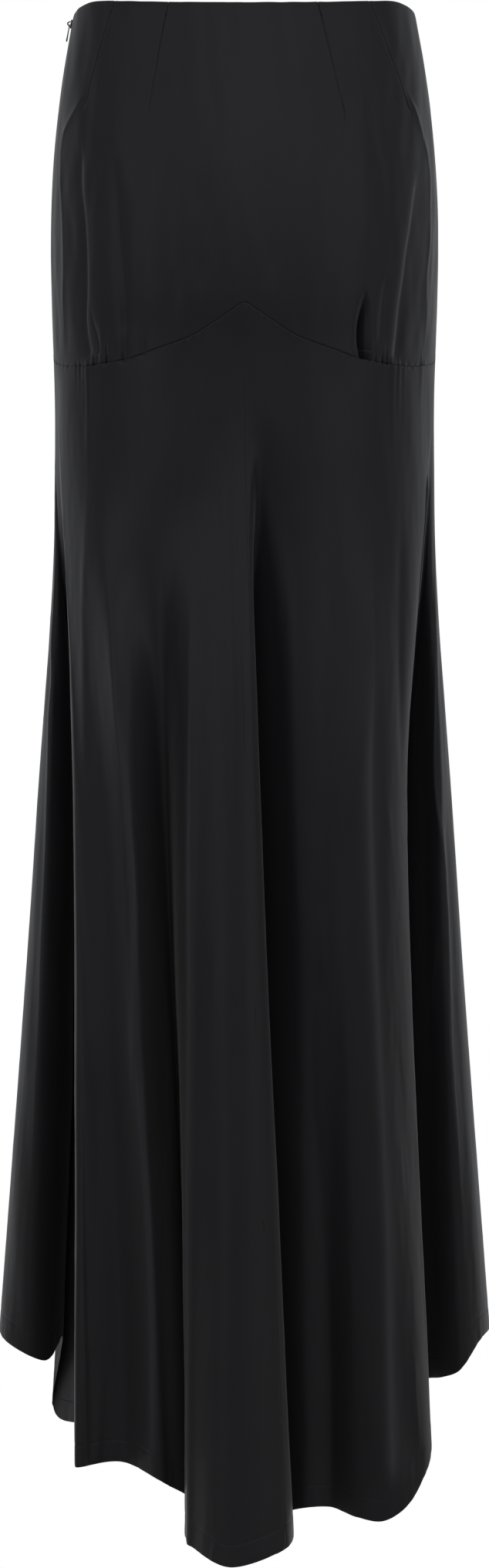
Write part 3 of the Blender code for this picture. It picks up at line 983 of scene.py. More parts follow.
    def surface(self) -> tuple[Array, Array, Array]:
        """The finished cloth's outer face.

        Returns:
            The grid's points, their distances across and down the cloth, and how far a painted
            highlight lightens each.
        """
        at = self.grid()
        place, depth = at["place"], at["depth"]
        base = self.form(place, depth)
        out = outwards(self.form, place, depth, self.step)
        steps = np.linalg.norm(np.diff(base, axis=1), axis=-1) * np.sign(np.diff(place, axis=1))
        across = np.concatenate((np.zeros((len(base), 1)), np.cumsum(steps, axis=1)), axis=1)
        across -= across[:, across.shape[1] // 2][:, None]
        lift = self.edge_lift(at, across)
        painted_highlight = np.zeros(depth.shape)
        calm = self.calm(at, self.crease_fade, 2)
        for path in self.creases:
            shape = path.shape(base, place) * calm
            lift += path.crease.height * shape
            # painted highlight: lightened colour along the tops of creases that carry a highlight
            # share
            painted_highlight = np.maximum(painted_highlight, path.crease.painted_highlight * shape**3)
        calm = self.calm(at, self.wave_fade, 4)
        for ripples in self.ripples:
            lift += ripples.lift(across, depth) * calm
        if self.tucks is not None:
            lift += self.tucks(place, depth)
        points = base + out * (lift - at["inward"])[..., None]
        return points, np.stack((across, depth), axis=-1), painted_highlight

    def make(self) -> Object:
        """Returns:
            The piece's object.
        """
        points, cloth, painted_highlight = self.surface()
        rows, columns = points.shape[:2]
        bm = bmesh.new()
        bmesh.ops.create_grid(bm, x_segments=columns - 1, y_segments=rows - 1, size=0.5)
        mesh = meshed(self.name, bm)
        flat = np.empty(len(mesh.vertices) * 3)
        mesh.vertices.foreach_get("co", flat)
        spots = flat.reshape(-1, 3)
        column = np.rint((spots[:, 0] + 0.5) * (columns - 1)).astype(int)
        row = rows - 1 - np.rint((spots[:, 1] + 0.5) * (rows - 1)).astype(int)
        mesh.vertices.foreach_set("co", points[row, column].ravel())
        corners = np.empty(len(mesh.loops), np.int32)
        mesh.loops.foreach_get("vertex_index", corners)
        grain = mesh.uv_layers.new(name=GRAIN)
        grain.uv.foreach_set("vector", cloth[row[corners], column[corners]].ravel())
        # the painted highlight's share at each point, which the cloth's material turns into lighter
        # colour
        crest_highlight = mesh.attributes.new(PAINTED_HIGHLIGHT, "FLOAT", "POINT")
        crest_highlight.data.foreach_set("value", painted_highlight[row, column].ravel())
        mesh.update()
        mesh.shade_smooth()
        made = linked(self.name, mesh)
        wall = made.modifiers.new("cloth", "SOLIDIFY")
        wall.thickness = CLOTH
        wall.offset = -1.0
        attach(made, "skirt")
        LOG.info("%s: %d points", self.name, len(mesh.vertices))
        return made


# ---- small tucks
@dataclass(frozen=True)
class Tuck:
    """A short ridge, or a trough where its height is below 0, that runs to or over the hip seam."""

    turn: float
    height: float
    width: float
    above: float  # how far it runs above the seam
    below: float  # and below it


@dataclass(frozen=True)
class HipGathers:
    """The small tucks that the hip seam draws up in the yoke above it and the skirt below it."""

    body: Body
    tucks: tuple[Tuck, ...]
    round: float = HIP_ROUND

    def lift(self, turn: Array, depth: Array) -> Array:
        """How far the tucks lift the cloth.

        Args:
            turn: the turn round the body of each point.
            depth: its depth.

        Returns:
            The lift along the cloth's normal at each point.
        """
        lower = depth - self.body.hip_seam_depth(turn)
        lift = np.zeros(depth.shape)
        for tuck in self.tucks:
            away = (turn - tuck.turn) * self.round / tuck.width
            reach = np.where(lower < 0.0, -lower / tuck.above, lower / tuck.below)
            lift += tuck.height * np.exp(-(away**2) - reach**1.5)
        return lift


BACK_TUCKS = (
    Tuck(-0.1641, -0.0009, 0.0010, 0.003, 0.010),
    Tuck(-0.1580, -0.0010, 0.0010, 0.003, 0.012),
    Tuck(-0.1480, 0.0012, 0.0013, 0.003, 0.050),
    Tuck(-0.1400, 0.0010, 0.0009, 0.008, 0.003),
    Tuck(-0.1374, -0.0020, 0.0009, 0.009, 0.003),
    Tuck(-0.1350, 0.0007, 0.0008, 0.006, 0.002),
    Tuck(-0.1282, 0.0011, 0.0014, 0.022, 0.004),
    Tuck(-0.1217, -0.0034, 0.0011, 0.011, 0.003),
    Tuck(-0.1031, -0.0020, 0.0008, 0.005, 0.002),
    Tuck(-0.0999, -0.0017, 0.0034, 0.034, 0.003),
    Tuck(-0.0925, -0.0009, 0.0008, 0.005, 0.002),
    Tuck(-0.0819, -0.0010, 0.0030, 0.020, 0.003),
    Tuck(0.1065, -0.0026, 0.0011, 0.009, 0.002),
    Tuck(0.1100, 0.0009, 0.0010, 0.008, 0.002),
    Tuck(0.1138, -0.0016, 0.0009, 0.006, 0.002),
    Tuck(0.1212, -0.0022, 0.0010, 0.008, 0.002),
    Tuck(0.1240, 0.0008, 0.0009, 0.008, 0.002),
    Tuck(0.1268, -0.0030, 0.0010, 0.010, 0.002),
    Tuck(0.1326, 0.0012, 0.0011, 0.014, 0.003),
    Tuck(0.1357, 0.0008, 0.0030, 0.003, 0.045),
    Tuck(0.1428, 0.0012, 0.0011, 0.004, 0.042),
    Tuck(0.1518, 0.0008, 0.0011, 0.003, 0.020),
    Tuck(0.1828, 0.0010, 0.0013, 0.008, 0.036),
    Tuck(0.1889, 0.0007, 0.0012, 0.004, 0.028),
)
FRONT_TUCKS = (
    Tuck(0.3080, 0.0007, 0.0013, 0.004, 0.030),
    Tuck(0.3350, -0.0012, 0.0016, 0.022, 0.003),
    Tuck(0.3520, 0.0010, 0.0014, 0.012, 0.034),
    Tuck(0.3680, -0.0016, 0.0020, 0.038, 0.003),
    Tuck(0.3860, -0.0008, 0.0011, 0.010, 0.002),
    Tuck(0.4120, -0.0006, 0.0030, 0.050, 0.003),
    Tuck(0.5940, -0.0007, 0.0028, 0.042, 0.003),
    Tuck(0.6190, -0.0012, 0.0012, 0.012, 0.002),
    Tuck(0.6330, -0.0020, 0.0020, 0.030, 0.003),
    Tuck(0.6480, 0.0010, 0.0013, 0.010, 0.040),
    Tuck(0.6620, -0.0009, 0.0011, 0.008, 0.002),
    Tuck(0.6900, 0.0007, 0.0012, 0.005, 0.026),
)


# ---- darts
@dataclass(frozen=True)
class Dart:
    """A dart's stitched line, from the waist edge down to its tip."""

    waist_turn: float
    tip_turn: float
    length: float


@dataclass(frozen=True)
class Darts:
    """The back yoke's four darts."""

    darts: tuple[Dart, ...] = (
        Dart(-0.132, -0.156, 0.089),
        Dart(-0.067, -0.079, 0.097),
        Dart(0.064, 0.084, 0.106),
        Dart(0.125, 0.164, 0.093),
    )
    sink: float = 0.0014
    width: float = 0.00045
    crest: float = 0.0001
    lip: float = 0.00035  # how much the cloth stands up beside the stitched line
    lip_width: float = 0.0020
    lip_crest: float = 0.0006
    above: float = 0.02  # how far above the waist the columns follow a line
    start: float = -0.05  # where a line starts, as a share of its length
    points: int = 40
    window: float = 0.02

    def guides(self, inner: Sequence[CreasePath]) -> list[Guide]:
        """Lines down the darts.

        Args:
            inner: the ridges that go on down from the first dart and from the last one.

        Returns:
            A guide for each dart.
        """
        made = []
        follow = {0: inner[0], len(self.darts) - 1: inner[1]}
        for number, dart in enumerate(self.darts):
            above = dart.waist_turn + (dart.waist_turn - dart.tip_turn) * self.above / dart.length
            depths, places = [-self.above, dart.length], [above, dart.tip_turn]
            if number in follow:
                depths += list(-follow[number].points[:, 2])
                places += list(follow[number].places)
            made.append(Guide(np.array(depths), np.array(places)))
        return made

    def laid(self, body: Body) -> list[CreasePath]:
        """The stitched lines as narrow grooves between slight lips.

        Args:
            body: the form that they lie on.

        Returns:
            A groove and a lip for each dart.
        """
        groove = Crease((), -self.sink, self.width, self.crest, rise=0.01, fall=0.03)
        lip = Crease((), self.lip, self.lip_width, self.lip_crest, rise=0.01, fall=0.2)
        share = np.linspace(self.start, 1.0, self.points)
        lines = []
        for dart in self.darts:
            turns = dart.waist_turn + (dart.tip_turn - dart.waist_turn) * share
            depths = dart.length * share
            points = body.point(turns, depths)
            lines += [CreasePath(crease, points, turns, self.window) for crease in (groove, lip)]
        return lines


# ---- laying creases
@dataclass(frozen=True)
class Layout:
    """Finds where on a piece a crease's path lies."""

    form: Form
    reach: float  # how far from the named fold to look
    window: float  # how far round a crease may touch
    samples: int = 801
    finer: int = 10
    probe: float = 1e-4
    least_rate: float = 0.05
    pull: float = 0.01  # metres of miss that one unit of place from the centre counts as

    def nearer(self, places: Array, depth: Array, across: Array) -> Array:
        """Places moved one small step, so that the form there is nearer to the wanted across.

        Args:
            places: the places found first.
            depth: each point's depth.
            across: how far across it should be.

        Returns:
            The better places.
        """
        here = self.form(places, depth)[:, 0]
        rate = (self.form(places + self.probe, depth)[:, 0] - here) / self.probe
        rate = np.where(np.abs(rate) < self.least_rate, self.least_rate, rate)
        step = 2.0 * self.reach / self.samples
        return places + np.clip((across - here) / rate, -step, step)

    def lay(self, crease: Crease, centre: float) -> CreasePath:
        """Lay a crease on the piece.

        Args:
            crease: the crease, by metres across and down.
            centre: the place near which it runs.

        Returns:
            The crease as points in space and places on the piece.
        """
        path = np.array(crease.path)
        runs = np.linalg.norm(np.diff(path, axis=0), axis=1)
        knots = np.concatenate(([0.0], np.cumsum(runs)))
        at = np.linspace(0.0, knots[-1], self.finer * len(runs) + 1)
        across, depth = Curve(knots, path[:, 0])(at), Curve(knots, path[:, 1])(at)
        tried = np.linspace(centre - self.reach, centre + self.reach, self.samples)
        shape = (len(depth), len(tried))
        found = self.form(np.broadcast_to(tried, shape), np.broadcast_to(depth[:, None], shape))
        further = self.pull * np.abs(tried - centre)
        miss = np.abs(found[..., 0] - across[:, None]) + further[None, :]
        places = self.nearer(tried[miss.argmin(axis=1)], depth, across)
        return CreasePath(crease, self.form(places, depth), places, self.window)


# ---- the skirt's creases
@dataclass(frozen=True)
class Pinch:
    """A stretch of a fold line where the cloth is pressed to a sharper edge."""

    fold: str
    top: float
    bottom: float
    height: float
    width: float
    after: float
    # how far a painted highlight lightens the pressed edge's colour
    painted_highlight: float
    crest: float = 0.0008
    fall: float = 0.02
    points: int = 40
    window: float = 0.05

    def laid(self, form: LowerForm) -> CreasePath:
        """The edge as a crease down the fold line.

        Args:
            form: the lower skirt's form.

        Returns:
            The crease.
        """
        depths = np.linspace(self.top, self.bottom, self.points)
        places = np.full(self.points, form.place_of(self.fold))
        given = {"fall": self.fall, "after": self.after, "painted_highlight": self.painted_highlight}
        crease = Crease((), self.height, self.width, self.crest, **given)
        return CreasePath(crease, form.point(places, depths), places, self.window)


# the last number of each row is how far a painted highlight lightens the edge
PINCHES = (
    Pinch("left_panel_edge", 0.5, 1.3, 0.0012, 0.003, 0.004, 0.04),
    Pinch("train_left_edge", 0.47, 1.36, 0.003, 0.004, 0.0035, 0.16),
    Pinch("right_panel_edge", 0.5, 1.3, 0.0012, 0.004, 0.003, 0.0),
)
LEFT_OUTER = (
    (-0.137, 0.073), (-0.1465, 0.09), (-0.155, 0.106), (-0.159, 0.148), (-0.157, 0.189),
    (-0.156, 0.229), (-0.1565, 0.262), (-0.1555, 0.303),
)  # fmt: skip
LEFT_INNER = (
    (-0.143, 0.105), (-0.1406, 0.1215), (-0.1397, 0.161), (-0.137, 0.192), (-0.135, 0.246),
    (-0.1357, 0.279), (-0.131, 0.311),
)  # fmt: skip
RIGHT_INNER = (
    (0.1525, 0.136), (0.149, 0.149), (0.145, 0.172), (0.142, 0.196), (0.138, 0.22),
    (0.1355, 0.24), (0.1315, 0.27), (0.129, 0.297), (0.127, 0.313),
)  # fmt: skip
RIGHT_OUTER = (
    (0.138, 0.07), (0.1445, 0.083), (0.151, 0.103), (0.157, 0.124), (0.16, 0.145),
    (0.16, 0.168), (0.1596, 0.207), (0.157, 0.237), (0.157, 0.273), (0.1555, 0.307),
)  # fmt: skip
BACK_YOKE_CREASES = (
    # the hips' long outer ridges, each a broad fold with a thin edge along it, the thin edge
    # lightened by a painted highlight
    Crease(LEFT_OUTER, 0.0022, 0.012, 0.0005, rise=0.12, fall=0.25, after=0.011, leads=True),
    Crease(LEFT_OUTER, 0.0004, 0.0012, 0.0003, rise=0.12, fall=0.45, painted_highlight=0.9),
    Crease(RIGHT_OUTER, 0.0022, 0.011, 0.001, rise=0.1, fall=0.2, after=0.012, leads=True),
    Crease(RIGHT_OUTER, 0.0005, 0.0012, 0.0003, rise=0.1, fall=0.3, painted_highlight=1.0),
    # the ridges inside them, which end in the gathers
    Crease(LEFT_INNER, -0.0018, 0.009, 0.001, rise=0.2, fall=0.04),
    Crease(
        LEFT_INNER, 0.001, 0.0014, 0.0003, "dart",
        rise=0.2, fall=0.04, after=0.005, leads=True, painted_highlight=0.35,
    ),
    Crease(RIGHT_INNER, -0.001, 0.009, 0.001, rise=0.15, fall=0.04),
    Crease(
        RIGHT_INNER, 0.0011, 0.006, 0.0003, "dart",
        rise=0.15, fall=0.04, after=0.0015, leads=True, painted_highlight=0.45,
    ),
    # soft hollows and swells
    Crease(
        ((-0.112, 0.13), (-0.11, 0.175), (-0.106, 0.229), (-0.102, 0.295)),
        -0.0018, 0.006, 0.004, fall=0.1,
    ),
    Crease(((-0.088, 0.15), (-0.085, 0.21), (-0.08, 0.29)), 0.0009, 0.008, 0.006),
    Crease(((-0.038, 0.146), (-0.036, 0.2), (-0.038, 0.264)), -0.0011, 0.0085, 0.006),
    Crease(((0.018, 0.12), (0.022, 0.19), (0.02, 0.262)), -0.001, 0.007, 0.005),
    Crease(((0.06, 0.12), (0.066, 0.18), (0.07, 0.27)), 0.0008, 0.009, 0.006),
    Crease(((0.104, 0.104), (0.114, 0.13), (0.121, 0.166), (0.119, 0.2)), -0.0011, 0.0055, 0.003),
    # at the gathers
    Crease(
        ((-0.135, 0.262), (-0.1315, 0.28), (-0.1285, 0.293), (-0.1266, 0.305)),
        -0.0026, 0.002, 0.001, rise=0.8, fall=0.03,
    ),
    Crease(
        ((0.105, 0.25), (0.1026, 0.273), (0.101, 0.288), (0.1012, 0.299), (0.1028, 0.309),
         (0.1048, 0.316)),
        -0.0125, 0.0023, 0.0012, rise=0.55, fall=0.02, after=0.0026, leads=True,
    ),
    Crease(((0.124, 0.235), (0.12, 0.262), (0.117, 0.3)), -0.0016, 0.004, 0.002, fall=0.05),
)  # fmt: skip
FRONT_YOKE_CREASES = (
    Crease(((0.118, 0.06), (0.126, 0.12), (0.122, 0.21), (0.116, 0.3)), 0.0018, 0.0026, 0.001),
    Crease(((0.098, 0.15), (0.094, 0.22), (0.09, 0.304)), -0.0022, 0.004, 0.002, fall=0.05),
    Crease(((0.05, 0.11), (0.046, 0.19), (0.05, 0.28)), 0.001, 0.008, 0.005),
    Crease(((0.004, 0.14), (0.0, 0.21), (0.006, 0.29)), -0.001, 0.009, 0.006),
    Crease(((-0.058, 0.12), (-0.052, 0.2), (-0.06, 0.285)), 0.0009, 0.0085, 0.005),
    Crease(((-0.104, 0.17), (-0.098, 0.23), (-0.094, 0.306)), -0.0026, 0.0036, 0.002, fall=0.05),
    Crease(((-0.124, 0.07), (-0.131, 0.13), (-0.125, 0.22), (-0.12, 0.302)), 0.0018, 0.0026, 0.001),
)  # fmt: skip
# a crease given a highlight share has its top lightened by a painted highlight
LEFT_CREASES = (
    Crease(  # the panel's long ridge
        ((-0.13, 0.42), (-0.117, 0.51), (-0.111, 0.59), (-0.104, 0.65), (-0.099, 0.71),
         (-0.095, 0.76), (-0.093, 0.9), (-0.088, 0.96), (-0.082, 1.03), (-0.078, 1.12),
         (-0.0755, 1.27)),
        0.0028, 0.005, 0.002, "left_panel_crest", fall=0.05, painted_highlight=0.1,
    ),
    Crease(
        ((-0.096, 0.87), (-0.092, 0.9), (-0.095, 0.93)),
        0.0012, 0.002, 0.001, "left_panel_crest",
    ),
    Crease(
        ((-0.083, 0.862), (-0.082, 0.885), (-0.085, 0.905)),
        -0.001, 0.002, 0.001, "left_panel_crest",
    ),
    Crease(
        ((-0.124, 1.02), (-0.121, 1.12), (-0.126, 1.27)),
        0.0018, 0.004, 0.002, "left_panel_inner", fall=0.1,
    ),
    Crease(
        ((-0.136, 0.42), (-0.138, 0.56), (-0.136, 0.7)),
        0.0014, 0.005, 0.003, "left_panel_edge",
    ),
    Crease(
        ((-0.128, 0.9), (-0.126, 1.0), (-0.131, 1.15)),
        -0.0016, 0.006, 0.003, "left_panel_edge",
    ),
    Crease(
        ((-0.166, 0.44), (-0.169, 0.6), (-0.174, 0.76), (-0.179, 0.9), (-0.189, 1.1)),
        0.0014, 0.002, 0.001, "left_side_crest", leads=True, painted_highlight=0.06,
    ),
)  # fmt: skip
RIGHT_CREASES = (
    Crease(
        ((0.112, 0.44), (0.11, 0.567), (0.106, 0.665), (0.108, 0.764), (0.112, 0.862),
         (0.116, 0.959), (0.12, 1.05), (0.122, 1.16), (0.125, 1.29)),
        0.0046, 0.006, 0.002, "right_panel_crest", fall=0.05, painted_highlight=0.2,
    ),
    Crease(
        ((0.068, 0.785), (0.066, 0.815), (0.069, 0.85)),
        0.0014, 0.0022, 0.001, "right_panel_dip",
    ),
    Crease(
        ((0.065, 0.78), (0.058, 0.9), (0.067, 1.05), (0.073, 1.2), (0.074, 1.28)),
        -0.0022, 0.006, 0.003, "right_panel_dip", fall=0.1,
    ),
    Crease(((0.136, 0.42), (0.134, 0.56), (0.136, 0.7)), -0.0014, 0.005, 0.003, "right_panel_edge"),
    Crease(
        ((0.143, 1.15), (0.145, 1.21), (0.149, 1.245)),
        0.0016, 0.0026, 0.001, "right_panel_edge",
    ),
    Crease(
        ((0.1665, 0.44), (0.167, 0.584), (0.1685, 0.693), (0.173, 0.731), (0.176, 0.779),
         (0.178, 0.836), (0.1795, 0.907), (0.183, 0.96), (0.188, 1.03), (0.194, 1.135)),
        0.0016, 0.0016, 0.0006, "right_side_crest", leads=True, painted_highlight=0.25,
    ),
    Crease(((0.169, 0.8), (0.164, 0.85), (0.163, 0.9)), 0.0014, 0.002, 0.001, "right_side_crest"),
)  # fmt: skip
FRONT_CREASES = (
    Crease(((0.11, 0.36), (0.118, 0.52), (0.122, 0.7)), 0.002, 0.005, 0.003, "front_crest_a"),
    Crease(((0.128, 0.76), (0.14, 0.9), (0.15, 1.06)), -0.0016, 0.0045, 0.002, "front_hollow_a"),
    Crease(((0.072, 0.42), (0.07, 0.6), (0.072, 0.78)), -0.002, 0.006, 0.003, "front_hollow_b"),
    Crease(((0.036, 0.36), (0.038, 0.56), (0.044, 0.9)), 0.0018, 0.006, 0.003, "front_crest_b"),
    Crease(
        ((0.002, 0.44), (-0.004, 0.64), (-0.002, 0.86)),
        -0.0018, 0.006, 0.003, "front_hollow_c",
    ),
    Crease(((-0.042, 0.37), (-0.044, 0.56), (-0.052, 0.98)), 0.002, 0.0056, 0.003, "front_crest_c"),
    Crease(
        ((-0.078, 0.46), (-0.076, 0.66), (-0.082, 0.9)),
        -0.0016, 0.006, 0.003, "front_hollow_d",
    ),
    Crease(((-0.116, 0.35), (-0.124, 0.54), (-0.128, 0.76)), 0.002, 0.005, 0.003, "front_crest_d"),
    Crease(
        ((-0.142, 0.7), (-0.15, 0.86), (-0.158, 1.04)),
        -0.0014, 0.0045, 0.002, "front_hollow_e",
    ),
)  # fmt: skip


# ---- the skirt
@dataclass
class Skirt:
    """The five pieces of cloth, cut to meet at their seams."""

    body: Body = field(default_factory=Body)
    darts: Darts = field(default_factory=Darts)
    yoke_columns: int = 376
    yoke_front_columns: int = 216
    yoke_rows: int = 64
    yoke_guard: float = 0.229  # past this turn the yoke's columns run straight down
    yoke_dense: tuple[tuple[float, float, float], ...] = (
        (-0.135, 0.030, 3.0),
        (0.120, 0.030, 3.0),
        (-0.190, 0.020, 0.6),
        (0.185, 0.020, 0.6),
    )
    lower_columns: int = 250
    lower_rows: int = 90

    def __post_init__(self) -> None:
        """Form the lower skirt and the gathers on the body."""
        self.lower = LowerForm(self.body)
        self.yoke_layout = Layout(self.body.point, reach=0.25, window=0.05)
        self.lower_layout = Layout(self.lower.point, reach=0.07, window=0.08)
        self.back_gathers = HipGathers(self.body, BACK_TUCKS)
        self.front_gathers = HipGathers(self.body, FRONT_TUCKS)

    def lower_ripples(self, seed: int) -> tuple[Ripples, ...]:
        """The lower skirt's slight waves, soft ones and small ones."""
        soft = Ripples(0.00055, 0.060, stretch=4.0, seed=seed)
        return (soft, Ripples(0.00008, 0.014, stretch=2.0, seed=seed + 1))

    def yoke(self, name: str, first: float, **given: object) -> Object:
        """One piece of the yoke.

        Args:
            name: the piece's name.
            first: the turn of its first side edge.
            given: the rest of what the piece is given.

        Returns:
            The piece's object.
        """
        return ClothPiece(
            name=name,
            form=self.body.point,
            first=first,
            last=first + 0.5,
            top=self.body.waist_depth,
            bottom=self.body.hip_seam_depth,
            edges=(SEAM, SEAM, WAIST, GATHERED),
            rows=self.yoke_rows,
            ripples=(Ripples(0.00022, 0.034, seed=3), Ripples(0.00005, 0.011, seed=4)),
            **given,
        ).make()

    def yoke_back(self) -> Object:
        """The back yoke, with its darts.

        Returns:
            The piece's object.
        """
        creases = [self.yoke_layout.lay(row, 0.0) for row in BACK_YOKE_CREASES]
        leaders = [path for path in creases if path.crease.leads]
        inner = [path for path in leaders if path.crease.near == "dart"]
        guides = [path.guide() for path in leaders if path not in inner]
        guides += self.darts.guides(inner)
        for guard in (-self.yoke_guard, self.yoke_guard):
            guides.append(Guide(np.array([0.0, 1.0]), np.full(2, guard)))
        guides.sort(key=lambda guide: guide.home)
        creases += self.darts.laid(self.body)
        return self.yoke(
            "yoke_back_cloth",
            first=-0.25,
            columns=self.yoke_columns,
            flat=(0.50, 0.34),
            area=0.156,
            creases=tuple(creases),
            tucks=self.back_gathers.lift,
            dense=self.yoke_dense,
            guides=tuple(guides),
            seed=11,
        )

    def yoke_front(self) -> Object:
        """The front yoke, one plain piece.

        Returns:
            The piece's object.
        """
        return self.yoke(
            "yoke_front_cloth",
            first=0.25,
            columns=self.yoke_front_columns,
            flat=(0.46, 0.34),
            area=0.147,
            creases=tuple(self.yoke_layout.lay(row, 0.5) for row in FRONT_YOKE_CREASES),
            tucks=self.front_gathers.lift,
            seed=21,
        )

    def lower_piece(
        self,
        name: str,
        ends: tuple[float, float],
        creases: tuple[Crease, ...],
        gathers: HipGathers,
        flat: tuple[float, float],
        area: float,
        seed: int,
    ) -> Object:
        """One piece of the lower skirt.

        Args:
            name: the piece's name.
            ends: the places round the hem of its side edges.
            creases: its creases.
            gathers: the tucks along its top.
            flat: the cut piece's width and length.
            area: and its flat area.
            seed: of its uneven waves.

        Returns:
            The piece's object.
        """

        def tucks(place: Array, depth: Array) -> Array:
            """The tucks of the hip seam that reach into this piece."""
            turn = self.lower.turn(place.ravel()).reshape(place.shape)
            return gathers.lift(turn, depth)

        laid = [self.lower_layout.lay(row, self.lower.place_of(row.near)) for row in creases]
        guides = [path.guide() for path in laid if path.crease.leads]
        pinches = [pinch.laid(self.lower) for pinch in PINCHES]
        pinches = [path for path in pinches if ends[0] < path.places[0] < ends[1]]
        return ClothPiece(
            name=name,
            form=self.lower.point,
            first=ends[0],
            last=ends[1],
            top=self.lower.top,
            bottom=self.lower.hem,
            edges=(SEAM, SEAM, GATHERED, HEM),
            columns=self.lower_columns,
            rows=self.lower_rows,
            flat=flat,
            area=area,
            creases=(*laid, *pinches),
            ripples=self.lower_ripples(seed),
            tucks=tucks,
            close=tuple(float(path.places[0]) for path in pinches),
            guides=tuple(sorted(guides, key=lambda guide: guide.home)),
            seed=seed,
        ).make()

    def make(self) -> dict[str, Object]:
        """Build every piece.

        Returns:
            Each CAD node's cloth by the node's name.
        """
        left = self.lower.place_of("left_side_seam")
        centre = self.lower.place_of("centre_back_seam")
        right = self.lower.place_of("right_side_seam")
        back, front = self.back_gathers, self.front_gathers
        return {
            "yoke_back": self.yoke_back(),
            "yoke_front": self.yoke_front(),
            "skirt_back_left": self.lower_piece(
                "lower_back_left_cloth", (left, centre), LEFT_CREASES, back,
                flat=(0.79, 1.09), area=0.470, seed=31,
            ),
            "skirt_back_right": self.lower_piece(
                "lower_back_right_cloth", (centre, right), RIGHT_CREASES, back,
                flat=(0.58, 1.09), area=0.415, seed=41,
            ),
            "skirt_front": self.lower_piece(
                "lower_front_cloth", (right, self.lower.round), FRONT_CREASES, front,
                flat=(0.71, 0.89), area=0.457, seed=51,
            ),
        }  # fmt: skip


# ---- the zip
@dataclass
class Zip:
    """The concealed zip of the left side seam: tape, closed coil, slider and pull tab."""

    body: Body
    turn: float = 0.75
    step: float = 0.0004  # for reading the body's directions
    end: float = 0.200
    tape_half_turn: float = 0.017
    tape_inset: float = 0.003  # below the waist edge
    tape_depth: float = 0.0021  # its outer face, inside the cloth's outer face
    tape_thickness: float = 0.0006
    tape_groove: float = 0.0004  # how much deeper it lies along its middle
    tape_groove_share: float = 0.07  # half the groove's width, by the tape's
    tape_grid: tuple[int, int] = (24, 110)  # across, down
    coil_start: float = 0.012  # below the tape's top
    coil_stop: float = 0.008  # above its end
    coil_radius: float = 0.0009
    coil_flatness: float = 0.55  # its reach out of the cloth, by its radius
    coil_breadth: float = 1.5  # its reach along the cloth, by its radius
    coil_wire: float = 0.00028
    coil_wire_sides: int = 6
    coil_pitch: float = 0.0012
    coil_run: int = 10  # turns in one repeated length
    coil_steps: int = 10  # in each turn
    coil_weld: float = 0.00002  # how near the lengths' ends are joined
    slider_depth: float = 0.0065
    slider_gap: float = 0.0003
    plate: tuple[float, float, float] = (0.0012, 0.0052, 0.0078)  # out, across, down
    plate_corner: float = 0.28  # its corners' radius, by its width
    plate_rim: float = 0.00018
    arch_width: float = 0.0013
    arch_height: float = 0.0052
    arch_reach: float = 0.0030
    arch_wire: float = 0.00045
    arch_wire_sides: int = 14
    arch_steps: int = 20
    pull_length: float = 0.0155
    pull_top: float = 0.0036
    pull_width: float = 0.0048
    pull_thickness: float = 0.0008
    pull_rim: float = 0.0012  # its thickness at the rounded end
    pull_eye: tuple[float, float] = (0.0020, 0.0040)
    pull_bar: float = 0.0009
    pull_points: int = 48  # round its outline
    pull_edge: float = 0.00022  # its edges' radius

    def directions(self, depth: float) -> tuple[Vector, Vector, Vector, Vector]:
        """The seam's frame at a depth.

        Args:
            depth: how far down the seam.

        Returns:
            The place on the cloth's outer face, and the directions out of it, along it and up.
        """
        turns = self.turn + np.array([0.0, -self.step, self.step, 0.0, 0.0])
        depths = depth + np.array([0.0, 0.0, 0.0, -self.step, self.step])
        here, before, after, above, below = (Vector(row) for row in self.body.point(turns, depths))
        along = (after - before).normalized()
        down = (below - above).normalized()
        out = down.cross(along).normalized()
        if out.x > 0.0:
            out.negate()
        return here, out, along, out.cross(along)

    def slider_place(self) -> Matrix:
        """The slider's place on the seam.

        Returns:
            Its frame: out of the cloth, along it and up it.
        """
        here, out, along, up = self.directions(self.slider_depth)
        turned = Matrix((out, along, up)).transposed().to_4x4()
        return Matrix.Translation(here + out * self.slider_gap) @ turned

    def finished(self, name: str, bm: Shape, place: Matrix) -> Object:
        """A mesh object of a shape, put in its place.

        Args:
            name: the object's name.
            bm: the shape, which is used up.
            place: where it goes.

        Returns:
            The object, at the origin.
        """
        bmesh.ops.transform(bm, matrix=place, verts=bm.verts[:])
        bmesh.ops.recalc_face_normals(bm, faces=bm.faces[:])
        mesh = meshed(name, bm)
        mesh.shade_smooth()
        return linked(name, mesh)

    def tape(self) -> Object:
        """The tape inside the seam, with a shallow groove behind the cloth's two edges.

        Returns:
            The tape's object.
        """
        columns, rows = self.tape_grid
        bm = bmesh.new()
        bmesh.ops.create_grid(bm, x_segments=columns, y_segments=rows, size=0.5)
        turns, depths, inward = [], [], []
        for vert in bm.verts:
            turn = self.turn + 2.0 * self.tape_half_turn * vert.co.x
            top = float(self.body.waist_depth(turn)) + self.tape_inset
            turns.append(turn)
            depths.append(top + (self.end - top) * (0.5 - vert.co.y))
            groove = max(0.0, 1.0 - abs(vert.co.x) / self.tape_groove_share)
            inward.append(self.tape_depth + self.tape_groove * groove)
        turns, depths = np.array(turns), np.array(depths)
        grain = bm.loops.layers.uv.new(GRAIN)
        for face in bm.faces:
            for loop in face.loops:
                index = loop.vert.index
                loop[grain].uv = ((turns[index] - self.turn) * HIP_ROUND, depths[index])
        outer = self.body.point(turns, depths)
        out = outwards(self.body.point, turns, depths, self.step)
        for vert, place in zip(bm.verts, outer - out * np.array(inward)[:, None]):
            vert.co = place
        faces = bm.faces[:]
        bmesh.ops.recalc_face_normals(bm, faces=faces)
        bmesh.ops.solidify(bm, geom=faces, thickness=self.tape_thickness)
        return self.finished("zip_tape_strip", bm, Matrix.Identity(4))

